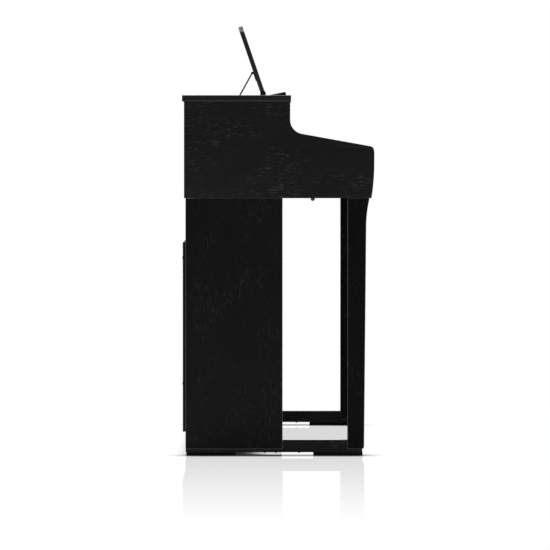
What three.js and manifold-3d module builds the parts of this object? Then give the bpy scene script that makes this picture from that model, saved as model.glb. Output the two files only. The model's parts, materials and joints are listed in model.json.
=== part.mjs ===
// Digital piano on its stand, in millimetres, +Z up.
// +X runs to the player's right (treble), -Y faces the player, and the origin is on the floor
// under the middle of the object's bounding box.

import * as THREE from 'three';
import { mergeVertices } from 'three/addons/utils/BufferGeometryUtils.js';
import Module from 'manifold-3d';

const wasm = await Module();
wasm.setup();

// ---------------------------------------------------------------- driving dimensions

const GAP = 0.3; // between pieces that touch
const ARC_STEPS = 6; // straight steps for one curve of an outline
const ROUND_SIDES = 24; // sides of a turned piece
const WIRE_SIDES = 12; // sides of a wire or a thin pin
const PAST = 1; // how far a cutting shape runs past the surface it opens, and a joined shape sinks in

// Whole instrument.
const BOX_DEPTH = 261.6; // rear edge of the top board to the front of the upper box
const ARM_LENGTH = 203.4; // front of the upper box to the noses of the side panels
const KEYBED_HEIGHT = 623; // floor to the underside of the cabinet
const CABINET_HEIGHT = 249; // that underside to the top board's upper face

// Keyboard.
const KEY_PITCH = 23.5; // one white key
const KEY_GAP = 1.1; // between two white keys
const WHITE_COUNT = 52;
const WHITE_TOP = 105; // white key surface above the cabinet's underside
const WHITE_THICKNESS = 20;
const BLACK_RISE = 12; // black key surface above the white keys
const BLACK_WIDTH = 9.6;
const BLACK_CLEARANCE = 1.2; // beside a black key
const HEAD_LENGTH = 52; // wide front part of a white key
const KEY_RUN = 207; // front of the white keys to their pivot
const KEY_REACH = 10; // white key behind its pivot
const KEY_RAIL_DEPTH = 16; // rail that joins a row of white keys
const KEY_FRONT_GAP = 4; // key slip to the white keys
const BLACK_PIVOT_SETBACK = 19; // black key pivot behind the white key pivot
const BLACK_FOOT_DEPTH = 10;
const BLACK_SLOPE = 5; // lean of a black key's front face
const BLACK_FRONT_GAP = 2.2; // black key behind the white keys' heads
const BLACK_LIFT = 4; // its underside above the white keys' underside
const BLACK_CHEST = 1; // foot of its sloping front under the white keys' top
const BLACK_STEP_SETBACK = 4; // its rear step behind the front of the name board
const BLACK_STEP_RUN = 2;
const KEY_RAIL_GAP = 4; // black key's body ahead of the white keys' rail
const TAIL_THICKNESS = 10; // black key where it crosses the white keys' rail
const TAIL_CLEARANCE = 2.5; // under that tail
const RIDGE_HALF_WIDTH = 3.5; // knife edge that a key rocks on
const KEY_END_GAP = 2; // beside the first and last key
const FIRST_SPLIT_KEY = 23; // white key number of the middle C, counted from 0
const FRAME_FLOOR = 8;
const FRAME_FRONT_INSET = 14; // keyboard frame behind the front of the white keys
const FRAME_REAR_REACH = 12; // keyboard frame behind the black keys' pivot
const STOP_DEPTH = 14; // front stop rail
const STOP_DROP = 20; // that rail's top under the white keys
const RIDGE_BLOCK_RISE = 20; // block under the knife edges
const RIDGE_BLOCK_RUN = 24; // slope in front of that block

// Cabinet boards.
const SIDE_THICKNESS = 21;
const LID_THICKNESS = 15;
const LID_SIDE_OVERHANG = 2;
const LID_FRONT_OVERHANG = 2.2;
const PANEL_REAR_INSET = 4.8; // side panel behind the top board's rear edge
const ARM_ABOVE_KEYS = 20.9; // arm's top at its front end, above the white keys
const ARM_NOSE_INSET = 9.5; // that point behind the nose
const NOSE_ROUND_RISE = 22; // lower end of the nose's upper rounding above its foremost point
const ARM_SLOPE = THREE.MathUtils.degToRad(10.2);
const ARM_FILLET = 34;
const NOSE_BULGE_RISE = 87; // foremost point of the nose above the underside
const NOSE_BOTTOM_INSET = 6.9; // nose at its lower corner
const BED_THICKNESS = 22;
const BACK_THICKNESS = 6;
const BACK_INSET = 12; // cabinet back in front of the side panels' rear edge
const SLIP_INSET = 6; // key slip behind the noses
const SLIP_THICKNESS = 17;
const SLIP_DROP = 6; // key slip's top under the white keys
const SLIP_ROUND = 6; // its upper front edge
const SLIP_TAPER = 4; // lean of its foot
const SLIP_TAPER_RISE = 30;
const FRONT_PANEL_THICKNESS = 12;
const FRONT_PANEL_INSET = 2;
const CHEEK_WIDTH = 60;
const RAIL_WIDTH = 9; // key cover rail
const RAIL_HEIGHT = 12;
const RAIL_FRONT_GAP = 2; // rail behind the front of the cheek blocks
const RAIL_REAR_REACH = 6; // rail past the open cover
const NAME_BOARD_DEPTH = 16;
const NAME_BOARD_CLEARANCE = 3; // over the black keys, and under the key cover
const NAME_BOARD_SETBACK = 150; // behind the front of the white keys

// Sliding key cover.
const COVER_THICKNESS = 12;
const COVER_DROP = 4; // cover's face under the arms' top
const COVER_LENGTH = 196;
const COVER_OPEN_GAP = 2; // open cover's grip ahead of the name board
const COVER_LIP = 5; // downturned grip on its front edge
const COVER_LIP_DEPTH = 9;
const COVER_END_GAP = 1;
const CHEEK_CLEARANCE = 5; // cheek block under the cover

// Music rest.
const REST_WIDTH = 660;
const REST_HEIGHT = 175.8; // hinge to the top edge
const REST_THICKNESS = 10.7;
const REST_CORNER_RADIUS = 10;
const REST_TILT = THREE.MathUtils.degToRad(18.9);
const HINGE_RISE = 8; // hinge above the top board
const HINGE_PIN_RADIUS = 2.5;
const HINGE_PIN_LENGTH = 14;
const HINGE_BLOCK_WIDTH = 14;
const HINGE_BLOCK_DEPTH = 13;
const HINGE_SIDE_GAP = 0.5; // hinge block to the rest's end
const LEDGE_DEPTH = 43.8;
const LEDGE_RISE = 11.8; // top of its front edge above the top board
const LEDGE_LEAN = 3.2; // of its front face
const LEDGE_CREST = 3; // flat top of its front edge
const LEDGE_REAR_THICKNESS = 3.7;
const LEDGE_SETBACK = 7.5; // ledge behind the front of the upper box
const HINGE_SETBACK = 15.2; // hinge behind the ledge
const PROP_WIRE_RADIUS = 1.3;
const PROP_FOOT_SETBACK = 63.6; // prop's foot behind the rest's hinge
const PROP_SPAN = 60; // between the prop's two legs
const PROP_PIVOT_UP = 61.6; // along the rest from its hinge
const PROP_PIVOT_STANDOFF = 3.9; // behind the rest's rear face
const PROP_PIN_LENGTH = 12;
const LUG_WIDTH = 6;
const LUG_WALL = 1.1; // round the prop's pin
const LUG_PLATE_THICKNESS = 1.6; // behind the rest's rear face
const LUG_PLATE_MARGIN = 2; // each side of the lug
const LUG_PLATE_LENGTH = 22; // down from the prop's pin
const FOLD_CLEARANCE = 1.1; // under the folded prop and lugs
const TROUGH_CLEARANCE = 4; // round the folded prop and lugs
const POCKET_LENGTH = 46;

// Controls and sockets.
const CONTROL_CLEARANCE = 0.5; // round a button or a stem
const POWER_SETBACK = 110; // behind the front of the white keys
const FUNCTION_SETBACK = 110;
const SLIDER_SETBACK = 60;
const POWER_RADIUS = 8;
const BUTTON_WIDTH = 16;
const BUTTON_LENGTH = 8;
const BUTTON_TRAVEL = 1.5;
const BUTTON_HEIGHT = 12;
const CONTROL_RISE = 2.6; // controls above the cheek block
const SLIDER_WIDTH = 10;
const SLIDER_LENGTH = 8;
const SLIDER_STEM = 3;
const SLIDER_TRAVEL = 30;
const SLIDER_DEPTH = 9;
const JACK_RADIUS = 3.25;
const JACK_DEPTH = 26;
const JACK_PITCH = 26;
const HEADPHONE_BOX = new THREE.Vector3(60, 35, 24.5);
const HOOK_WIDTH = 10;
const HOOK_LENGTH = 34;
const HOOK_SHEET = 1.8;
const HOOK_GAP = 3.3;
const HOOK_TIP = 1; // upturned end above the tongue
const HOOK_TAB = 14; // fixed to the key bed
const HOOK_INSET = 10; // inside the column's inner face
const HOOK_SETBACK = 88.7; // hook's rear edge behind the front leg
const HEADPHONE_BOX_INSET = 65; // inside the cheek block's outer face
const HEADPHONE_BOX_SETBACK = 4; // behind the front of the leg
const JACK_PLATE = new THREE.Vector3(120, 3, 56);
const JACK_PLATE_INSET = 150; // its middle inside the key bed's end
const JACK_PLATE_RISE = 60; // its middle above the key bed
const JACK_PLATE_RIM = 8; // overlap on the cabinet back round its window
const INLET_WIDTH = 28;
const INLET_HEIGHT = 20;
const INLET_DEPTH = 18;
const INLET_WALL = 2;

// Sound.
const SPEAKER_RADIUS = 58;
const SPEAKER_RIM = 8; // rim that rests on the key bed round the opening
const SPEAKER_DEPTH = 56;
const SPEAKER_SPREAD = 430; // from the middle
const SPEAKER_BACK_GAP = 14; // speaker rim to the cabinet back
const BOARD_SIZE = new THREE.Vector3(230, 110, 1.6);
const BOARD_STANDOFF = 8;
const BOARD_SPEAKER_GAP = 20;
const POST_RADIUS = 3;
const POST_INSET = 8;
const CHIP_SIZE = new THREE.Vector3(30, 30, 3);
const CHIP_INSET = 40; // from the board's front left corner
const HEAT_SINK_SIZE = new THREE.Vector3(80, 24, 26);
const HEAT_SINK_PLACE = new THREE.Vector2(120, 60);
const CONE_LAND = 4; // between the cone and the key bed's opening
const CONE_DEPTH = 25.2;
const CONE_CENTRE = 12; // flat middle of the cone
const MAGNET_RADIUS = 31.9;
const MAGNET_LENGTH = 22.4;
const RIM_THICKNESS = 5;
const CONE_LIP = 2;

// Stand.
const STAND_INSET = 2; // stand's outer face inside the side panels
const COLUMN_THICKNESS = 24;
const COLUMN_DEPTH = 234.9;
const COLUMN_REAR_INSET = 8.2;
const LEG_WIDTH = 36;
const LEG_DEPTH = 45.2;
const LEG_FRONT_INSET = 19.6;
const LEG_FLARE = 8; // how far the leg's top reaches forward
const LEG_FLARE_HEIGHT = 70;
const LEG_TOE_DEPTH = 6; // rounding of the leg's lower front corner
const LEG_TOE_RISE = 8;
const LEG_FOOT_SETBACK = 4.9; // leg's foot behind its middle
const BAR_TOP = 37.6;
const STRIP_TOP = 16;
const STRIP_FRONT_INSET = 4.4;
const STRIP_REAR_INSET = 0.3;
const PAD_HEIGHT = 8;
const PAD_LENGTH = 119.5;
const PAD_WIDTH = 16;
const PAD_REAR_INSET = 1.6;
const PAD_FRONT_INSET = 3.6;
const BOARD_DROP = 107; // stand's back board under the cabinet
const BOARD_BOTTOM = 58;
const STAND_BOARD_THICKNESS = 6.3;

// Pedals.
const PEDAL_BOX_REAR_INSET = 13.9; // pedal box in front of the columns' rear edges
const PEDAL_BOX_DEPTH = 150;
const PEDAL_BOX_HEIGHT = 80;
const PEDAL_BOX_BOTTOM = 38;
const PEDAL_BOX_WALL = 12;
const PEDAL_PITCH = 70;
const PEDAL_WIDTH = 25;
const PEDAL_NECK = 16;
const PEDAL_THICKNESS = 8;
const PEDAL_REACH = 62; // toe ahead of the pedal box
const PEDAL_TRAVEL = THREE.MathUtils.degToRad(5);
const PEDAL_CLEARANCE = 2;
const PEDAL_PIVOT_SETBACK = 15; // pivot ahead of the box's open rear
const PEDAL_RISE = 28; // pedal's underside above the box's bottom
const PEDAL_TAIL = 8; // behind the pivot
const SHOULDER_FRONT = 26; // full width of a pedal ahead of the pedal box
const SHOULDER_REAR = 6; // neck width ahead of the pedal box
const ADJUSTER_RADIUS = 16;
const ADJUSTER_DISC = 9; // top of the disc above the floor
const ADJUSTER_CONE = 13; // top of the cone above it
const ADJUSTER_STEM = 6;
const ADJUSTER_SETBACK = 60; // behind the front of the pedal box

// ---------------------------------------------------------------- derived places

const keysHalf = WHITE_COUNT * KEY_PITCH / 2;
const cheekInner = keysHalf + KEY_END_GAP;
const cheekOuter = cheekInner + CHEEK_WIDTH;
const innerHalf = cheekOuter + GAP + RAIL_WIDTH + GAP;
const outerHalf = innerHalf + SIDE_THICKNESS;
const lidHalf = outerHalf + LID_SIDE_OVERHANG;
const innerSpan = innerHalf - GAP;

const rearEdge = (BOX_DEPTH + ARM_LENGTH) / 2;
const noseFront = -rearEdge;
const panelRear = rearEdge - PANEL_REAR_INSET;
const boxFront = noseFront + ARM_LENGTH;
const backRear = panelRear - BACK_INSET + BACK_THICKNESS;
const backFront = backRear - BACK_THICKNESS;

const lidTop = KEYBED_HEIGHT + CABINET_HEIGHT;
const lidBottom = lidTop - LID_THICKNESS;
const boardTop = lidBottom - GAP; // top of what stands under the lid
const bedTop = KEYBED_HEIGHT + BED_THICKNESS;
const armY = noseFront + ARM_NOSE_INSET;
const armZ = KEYBED_HEIGHT + WHITE_TOP + ARM_ABOVE_KEYS;
const armRise = Math.tan(ARM_SLOPE);
const armTop = (y) => armZ + (y - armY) * armRise;
const coverTop = (y) => armTop(y) - COVER_DROP / Math.cos(ARM_SLOPE);
const coverBottom = (y) => coverTop(y) - COVER_THICKNESS / Math.cos(ARM_SLOPE);

const slipFront = noseFront + SLIP_INSET;
const slipRear = slipFront + SLIP_THICKNESS;
const whiteTop = KEYBED_HEIGHT + WHITE_TOP;
const whiteBottom = whiteTop - WHITE_THICKNESS;
const blackTop = whiteTop + BLACK_RISE;
const whiteFront = slipRear + KEY_FRONT_GAP;
const headRear = whiteFront + HEAD_LENGTH;
const whitePivot = whiteFront + KEY_RUN;
const whiteRear = whitePivot + KEY_REACH;
const railFront = whiteRear - KEY_RAIL_DEPTH;
const blackPivot = whitePivot + BLACK_PIVOT_SETBACK;
const nameFront = whiteFront + NAME_BOARD_SETBACK;

const hingeY = boxFront + LEDGE_SETBACK + LEDGE_DEPTH + HINGE_SETBACK;
const hingeZ = lidTop + HINGE_RISE;
const propPivotOut = REST_THICKNESS / 2 + PROP_PIVOT_STANDOFF;
const propPivotY = hingeY + PROP_PIVOT_UP * Math.sin(REST_TILT) + propPivotOut * Math.cos(REST_TILT);
const propPivotZ = hingeZ + PROP_PIVOT_UP * Math.cos(REST_TILT) - propPivotOut * Math.sin(REST_TILT);
const propFootY = hingeY + PROP_FOOT_SETBACK;
const propLength = Math.hypot(propFootY - propPivotY, propPivotZ - lidTop);
const lugRadius = PROP_WIRE_RADIUS + GAP + LUG_WALL;

const standOuter = outerHalf - STAND_INSET;
const columnInner = standOuter - COLUMN_THICKNESS;
const columnRear = rearEdge - COLUMN_REAR_INSET;
const columnFront = columnRear - COLUMN_DEPTH;
const legFront = noseFront + LEG_FRONT_INSET;
const legRear = legFront + LEG_DEPTH;
const footTop = KEYBED_HEIGHT - GAP; // top of what stands under the cabinet
const legFoot = legFront + LEG_FOOT_SETBACK;
const boxRear = columnRear - PEDAL_BOX_REAR_INSET;
const pedalBoxFront = boxRear - PEDAL_BOX_DEPTH;
const pedalPivot = boxRear - PEDAL_PIVOT_SETBACK;
const pedalBottom = PEDAL_BOX_BOTTOM + PEDAL_RISE;

// ---------------------------------------------------------------- finishes

function finish(color, roughness, metalness = 0) {
  return new THREE.MeshStandardMaterial({ color, roughness, metalness });
}

const WOOD = () => finish(0x1d1c1c, 0.55);
const WHITE_PLASTIC = () => finish(0xeeece4, 0.3);
const BLACK_PLASTIC = () => finish(0x161616, 0.45);
const STEEL = () => finish(0x8d8f92, 0.4, 1);
const DARK_METAL = () => finish(0x2a2a2b, 0.5, 0.8);
const BRASS = () => finish(0xc39b4a, 0.25, 1);
const CIRCUIT = () => finish(0x1f5a3a, 0.5);
const RUBBER = () => finish(0x101010, 0.9);

// ---------------------------------------------------------------- shape helpers

const AXIS_X = new THREE.Vector3(1, 0, 0);
const AXIS_Y = new THREE.Vector3(0, 1, 0);
const AXIS_Z = new THREE.Vector3(0, 0, 1);

function outline(points) {
  return new THREE.Shape(points.map(([a, b]) => new THREE.Vector2(a, b)));
}

// A profile drawn in (Y, Z), pushed from x0 to x1.
function pushAlongX(shape, x0, x1) {
  const options = { depth: x1 - x0, bevelEnabled: false, curveSegments: ARC_STEPS };
  const geometry = new THREE.ExtrudeGeometry(shape, options);
  geometry.applyMatrix4(new THREE.Matrix4().makeBasis(AXIS_Y, AXIS_Z, AXIS_X));
  return geometry.translate(x0, 0, 0);
}

// A plan drawn in (X, Y), pushed from z0 to z1.
function pushAlongZ(shape, z0, z1) {
  const options = { depth: z1 - z0, bevelEnabled: false, curveSegments: ARC_STEPS };
  return new THREE.ExtrudeGeometry(shape, options).translate(0, 0, z0);
}

function block(x0, x1, y0, y1, z0, z1) {
  const geometry = new THREE.BoxGeometry(x1 - x0, y1 - y0, z1 - z0);
  return geometry.translate((x0 + x1) / 2, (y0 + y1) / 2, (z0 + z1) / 2);
}

// A round bar of the given radius between two points.
function bar(from, to, radius, sides = WIRE_SIDES) {
  const along = to.clone().sub(from);
  const geometry = new THREE.CylinderGeometry(radius, radius, along.length(), sides);
  const turn = new THREE.Quaternion().setFromUnitVectors(AXIS_Y, along.clone().normalize());
  const middle = from.clone().add(to).multiplyScalar(0.5);
  return geometry.applyQuaternion(turn).translate(middle.x, middle.y, middle.z);
}

function toSolid(geometry) {
  const bare = geometry.clone();
  bare.deleteAttribute('normal');
  bare.deleteAttribute('uv');
  const merged = mergeVertices(bare, 1e-4);
  const vertProperties = new Float32Array(merged.attributes.position.array);
  const triVerts = new Uint32Array(merged.index.array);
  return new wasm.Manifold(new wasm.Mesh({ numProp: 3, vertProperties, triVerts }));
}

function fromSolid(solid) {
  const mesh = solid.getMesh();
  const geometry = new THREE.BufferGeometry();
  geometry.setAttribute('position', new THREE.BufferAttribute(mesh.vertProperties, 3));
  geometry.setIndex(new THREE.BufferAttribute(mesh.triVerts, 1));
  geometry.computeVertexNormals();
  return geometry;
}

function joined(geometries) {
  return fromSolid(geometries.map(toSolid).reduce((whole, next) => whole.add(next)));
}

function cut(geometry, tools) {
  return fromSolid(tools.map(toSolid).reduce((whole, tool) => whole.subtract(tool), toSolid(geometry)));
}

const piano = new THREE.Group();

function place(name, geometry, material, parent = piano) {
  const mesh = new THREE.Mesh(geometry, material);
  mesh.name = name;
  parent.add(mesh);
  return mesh;
}

// Runs a builder for the left and the right side; x(a, b) orders a mirrored pair of X values.
function bothSides(build) {
  for (const [side, sign] of [['left', -1], ['right', 1]]) {
    build(side, (a, b) => (sign < 0 ? [-b, -a] : [a, b]), sign);
  }
}

// ---------------------------------------------------------------- cabinet

function topBoard() {
  const front = boxFront - LID_FRONT_OVERHANG;
  const board = block(-lidHalf, lidHalf, front, rearEdge, lidBottom, lidTop);
  const half = PROP_SPAN / 2 + PROP_WIRE_RADIUS + TROUGH_CLEARANCE;
  const foldedPivotY = hingeY + PROP_PIVOT_UP;
  const troughRear = foldedPivotY + propLength + PROP_WIRE_RADIUS + TROUGH_CLEARANCE;
  const troughFront = propFootY - PROP_WIRE_RADIUS - TROUGH_CLEARANCE;
  const troughFloor = lidTop - PROP_WIRE_RADIUS - FOLD_CLEARANCE;
  const trough = block(-half, half, troughFront, troughRear, troughFloor, lidTop + PAST);
  const pocketFront = foldedPivotY - 2 * lugRadius - TROUGH_CLEARANCE;
  const pocketFloor = hingeZ - propPivotOut - lugRadius - FOLD_CLEARANCE;
  const pockets = [-1, 1].map((sign) => {
    const inner = PROP_SPAN / 2 - PROP_PIN_LENGTH - LUG_WIDTH;
    const [x0, x1] = sign < 0 ? [-half, -inner] : [inner, half];
    return block(x0, x1, pocketFront, pocketFront + POCKET_LENGTH, pocketFloor, lidTop + PAST);
  });
  place('top_board', cut(board, [trough, ...pockets]), WOOD());
}

// Upper box and arm in one board: square at the rear, a fillet down to the sloping arm, round nose.
function sidePanelOutline() {
  const shape = new THREE.Shape();
  const filletY = boxFront - ARM_FILLET;
  const filletZ = armTop(filletY) + ARM_FILLET / Math.cos(ARM_SLOPE);
  const bulgeZ = KEYBED_HEIGHT + NOSE_BULGE_RISE;
  shape.moveTo(panelRear, KEYBED_HEIGHT);
  shape.lineTo(panelRear, boardTop);
  shape.lineTo(boxFront, boardTop);
  shape.lineTo(boxFront, filletZ);
  shape.absarc(filletY, filletZ, ARM_FILLET, 0, -Math.PI / 2 + ARM_SLOPE, true);
  shape.lineTo(armY, armZ);
  shape.quadraticCurveTo(noseFront, armTop(noseFront), noseFront, bulgeZ + NOSE_ROUND_RISE);
  shape.lineTo(noseFront, bulgeZ);
  shape.quadraticCurveTo(noseFront, (bulgeZ + KEYBED_HEIGHT) / 2, noseFront + NOSE_BOTTOM_INSET, KEYBED_HEIGHT);
  return shape;
}

function sidePanels() {
  bothSides((side, x) => {
    place(`${side}_side_panel`, pushAlongX(sidePanelOutline(), ...x(innerHalf, outerHalf)), WOOD());
  });
}

const speakerY = backFront - SPEAKER_BACK_GAP - SPEAKER_RADIUS;

function keyBed() {
  const plan = outline([
    [-innerSpan, slipRear + GAP],
    [innerSpan, slipRear + GAP],
    [innerSpan, backRear],
    [-innerSpan, backRear],
  ]);
  for (const sign of [-1, 1]) {
    const hole = new THREE.Path();
    hole.absarc(sign * SPEAKER_SPREAD, speakerY, SPEAKER_RADIUS - SPEAKER_RIM, 0, 2 * Math.PI, true);
    plan.holes.push(hole);
  }
  place('key_bed', pushAlongZ(plan, KEYBED_HEIGHT, bedTop), WOOD());
}

const jackPlateX = innerSpan - JACK_PLATE_INSET;
const jackPlateZ = bedTop + JACK_PLATE_RISE;

function cabinetBack() {
  const board = block(-innerSpan, innerSpan, backFront, backRear, bedTop + GAP, boardTop);
  const halfWidth = JACK_PLATE.x / 2 - JACK_PLATE_RIM;
  const halfHeight = JACK_PLATE.z / 2 - JACK_PLATE_RIM;
  const window = block(
    jackPlateX - halfWidth, jackPlateX + halfWidth,
    backFront - PAST, backRear + PAST,
    jackPlateZ - halfHeight, jackPlateZ + halfHeight,
  );
  place('cabinet_back_panel', cut(board, [window]), WOOD());
}

// Plate on the inside of the cabinet back, with the mains inlet's shell behind it.
function rearJackPlate() {
  const rear = backFront - GAP;
  const front = rear - JACK_PLATE.y;
  const plate = block(
    jackPlateX - JACK_PLATE.x / 2, jackPlateX + JACK_PLATE.x / 2,
    front, rear,
    jackPlateZ - JACK_PLATE.z / 2, jackPlateZ + JACK_PLATE.z / 2,
  );
  const inletX = jackPlateX + JACK_PLATE.x / 4;
  const shell = block(
    inletX - INLET_WIDTH / 2 - INLET_WALL, inletX + INLET_WIDTH / 2 + INLET_WALL,
    rear - INLET_DEPTH - INLET_WALL, rear - PAST,
    jackPlateZ - INLET_HEIGHT / 2 - INLET_WALL, jackPlateZ + INLET_HEIGHT / 2 + INLET_WALL,
  );
  const socket = block(
    inletX - INLET_WIDTH / 2, inletX + INLET_WIDTH / 2,
    rear - INLET_DEPTH, rear + PAST,
    jackPlateZ - INLET_HEIGHT / 2, jackPlateZ + INLET_HEIGHT / 2,
  );
  place('rear_jack_plate', cut(joined([plate, shell]), [socket]), DARK_METAL());
}

function upperFrontPanel() {
  const front = boxFront + FRONT_PANEL_INSET;
  const rear = front + FRONT_PANEL_THICKNESS;
  const bottom = coverTop(rear) + NAME_BOARD_CLEARANCE;
  place('upper_front_panel', block(-innerSpan, innerSpan, front, rear, bottom, boardTop), WOOD());
}

function keySlip() {
  const top = whiteTop - SLIP_DROP;
  const shape = new THREE.Shape();
  shape.moveTo(slipRear, KEYBED_HEIGHT);
  shape.lineTo(slipRear, top);
  shape.lineTo(slipFront + SLIP_ROUND, top);
  shape.quadraticCurveTo(slipFront, top, slipFront, top - SLIP_ROUND);
  shape.lineTo(slipFront, KEYBED_HEIGHT + SLIP_TAPER_RISE);
  shape.lineTo(slipFront + SLIP_TAPER, KEYBED_HEIGHT);
  place('key_slip', pushAlongX(shape, -innerSpan, innerSpan), WOOD());
}

const cheekFront = slipRear + GAP;
const cheekRear = blackPivot + BLACK_FOOT_DEPTH;
const cheekTop = (y) => coverBottom(y) - CHEEK_CLEARANCE;
const cheekMiddle = (cheekInner + cheekOuter) / 2;

// Turns and moves a geometry from the cheek block's own plane to its place on the sloping top.
function onCheek(geometry, x, y) {
  return geometry.rotateX(ARM_SLOPE).translate(x, y, cheekTop(y));
}

const powerY = whiteFront + POWER_SETBACK;
const sliderY = whiteFront + SLIDER_SETBACK;
const functionY = whiteFront + FUNCTION_SETBACK;
const buttonFloor = CONTROL_RISE - BUTTON_HEIGHT;
const sliderFloor = -SLIDER_DEPTH;

function cheekBlocks() {
  const shape = outline([
    [cheekFront, bedTop + GAP],
    [cheekRear, bedTop + GAP],
    [cheekRear, cheekTop(cheekRear)],
    [cheekFront, cheekTop(cheekFront)],
  ]);
  const floor = buttonFloor - BUTTON_TRAVEL - PAST;
  const bottom = new THREE.Vector3(0, 0, floor);
  const mouth = new THREE.Vector3(0, 0, PAST);
  const power = bar(bottom, mouth, POWER_RADIUS + CONTROL_CLEARANCE, ROUND_SIDES);
  const halfWidth = BUTTON_WIDTH / 2 + CONTROL_CLEARANCE;
  const halfLength = BUTTON_LENGTH / 2 + CONTROL_CLEARANCE;
  const button = block(-halfWidth, halfWidth, -halfLength, halfLength, floor, PAST);
  const reach = SLIDER_TRAVEL / 2 + SLIDER_LENGTH / 2 + CONTROL_CLEARANCE;
  const slotHalf = SLIDER_STEM / 2 + CONTROL_CLEARANCE;
  const slot = block(-slotHalf, slotHalf, -reach, reach, sliderFloor - PAST, PAST);
  const left = pushAlongX(shape, -cheekOuter, -cheekInner);
  const right = pushAlongX(shape, cheekInner, cheekOuter);
  const leftCuts = [onCheek(button, -cheekMiddle, functionY), onCheek(slot, -cheekMiddle, sliderY)];
  place('left_cheek_block', cut(left, leftCuts), WOOD());
  place('right_cheek_block', cut(right, [onCheek(power, cheekMiddle, powerY)]), WOOD());
}

function controls() {
  const from = new THREE.Vector3(0, 0, buttonFloor);
  const to = new THREE.Vector3(0, 0, CONTROL_RISE);
  place('power_button', onCheek(bar(from, to, POWER_RADIUS, ROUND_SIDES), cheekMiddle, powerY), BLACK_PLASTIC());
  const button = block(
    -BUTTON_WIDTH / 2, BUTTON_WIDTH / 2,
    -BUTTON_LENGTH / 2, BUTTON_LENGTH / 2,
    buttonFloor, CONTROL_RISE,
  );
  place('function_button', onCheek(button, -cheekMiddle, functionY), BLACK_PLASTIC());
  const cap = block(
    -SLIDER_WIDTH / 2, SLIDER_WIDTH / 2,
    -SLIDER_LENGTH / 2, SLIDER_LENGTH / 2,
    GAP, CONTROL_RISE,
  );
  const stem = block(
    -SLIDER_STEM / 2, SLIDER_STEM / 2,
    -SLIDER_LENGTH / 2, SLIDER_LENGTH / 2,
    sliderFloor, CONTROL_RISE - PAST,
  );
  place('volume_slider', onCheek(joined([cap, stem]), -cheekMiddle, sliderY), BLACK_PLASTIC());
}

function nameBoard() {
  const rear = nameFront + NAME_BOARD_DEPTH;
  const shape = outline([
    [nameFront, blackTop + NAME_BOARD_CLEARANCE],
    [rear, blackTop + NAME_BOARD_CLEARANCE],
    [rear, coverBottom(rear) - NAME_BOARD_CLEARANCE],
    [nameFront, coverBottom(nameFront) - NAME_BOARD_CLEARANCE],
  ]);
  const half = cheekInner - GAP;
  place('name_board', pushAlongX(shape, -half, half), WOOD());
}

// ---------------------------------------------------------------- key cover

const coverFront = nameFront - COVER_OPEN_GAP - COVER_LIP_DEPTH;
const coverRear = coverFront + COVER_LENGTH * Math.cos(ARM_SLOPE);

function keyCover() {
  const lipDepth = COVER_LIP_DEPTH;
  const shape = outline([
    [coverFront, coverTop(coverFront)],
    [coverFront, coverBottom(coverFront) - COVER_LIP],
    [coverFront + lipDepth, coverBottom(coverFront + lipDepth) - COVER_LIP],
    [coverFront + lipDepth, coverBottom(coverFront + lipDepth)],
    [coverRear, coverBottom(coverRear)],
    [coverRear, coverTop(coverRear)],
  ]);
  const half = innerHalf - COVER_END_GAP;
  const lipCut = cheekInner - 2 * COVER_END_GAP;
  const board = pushAlongX(shape, -half, half);
  const notches = [-1, 1].map((sign) => {
    const [x0, x1] = sign < 0 ? [-half - PAST, -lipCut] : [lipCut, half + PAST];
    const under = outline([
      [coverFront - PAST, coverBottom(coverFront - PAST)],
      [coverFront - PAST, coverBottom(coverFront) - 2 * COVER_LIP],
      [coverFront + 2 * lipDepth, coverBottom(coverFront) - 2 * COVER_LIP],
      [coverFront + 2 * lipDepth, coverBottom(coverFront + 2 * lipDepth)],
    ]);
    return pushAlongX(under, x0, x1);
  });
  place('key_cover', cut(board, notches), WOOD());
}

function coverRails() {
  const front = cheekFront + RAIL_FRONT_GAP;
  const rear = coverRear + RAIL_REAR_REACH;
  const under = (y) => coverBottom(y) - GAP;
  const shape = outline([
    [front, under(front) - RAIL_HEIGHT],
    [rear, under(rear) - RAIL_HEIGHT],
    [rear, under(rear)],
    [front, under(front)],
  ]);
  bothSides((side, x) => {
    const range = x(innerHalf - GAP - RAIL_WIDTH, innerHalf - GAP);
    place(`${side}_cover_rail`, pushAlongX(shape, ...range), BLACK_PLASTIC());
  });
}

// ---------------------------------------------------------------- keyboard

// Black keys of one octave: the white boundary that each stands on and its offset from it.
const BLACKS = [
  { name: 'cs', after: 0, shift: -2.5 },
  { name: 'ds', after: 1, shift: 2.5 },
  { name: 'fs', after: 3, shift: -3.5 },
  { name: 'gs', after: 4, shift: 0 },
  { name: 'as', after: 5, shift: 3.5 },
];
const WHITE_NAMES = ['c', 'd', 'e', 'f', 'g', 'a', 'b'];
const FIRST_DEGREE = 5; // the lowest key is an A

const degreeOf = (white) => (white + FIRST_DEGREE) % WHITE_NAMES.length;
const whiteLeft = (white) => -keysHalf + white * KEY_PITCH;

// The black key on the right of a white key, or undefined.
function blackAfter(white) {
  const black = BLACKS.find((entry) => entry.after === degreeOf(white));
  return white < WHITE_COUNT - 1 && white >= 0 ? black : undefined;
}

const blackCentre = (white) => whiteLeft(white + 1) + blackAfter(white).shift;

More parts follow.
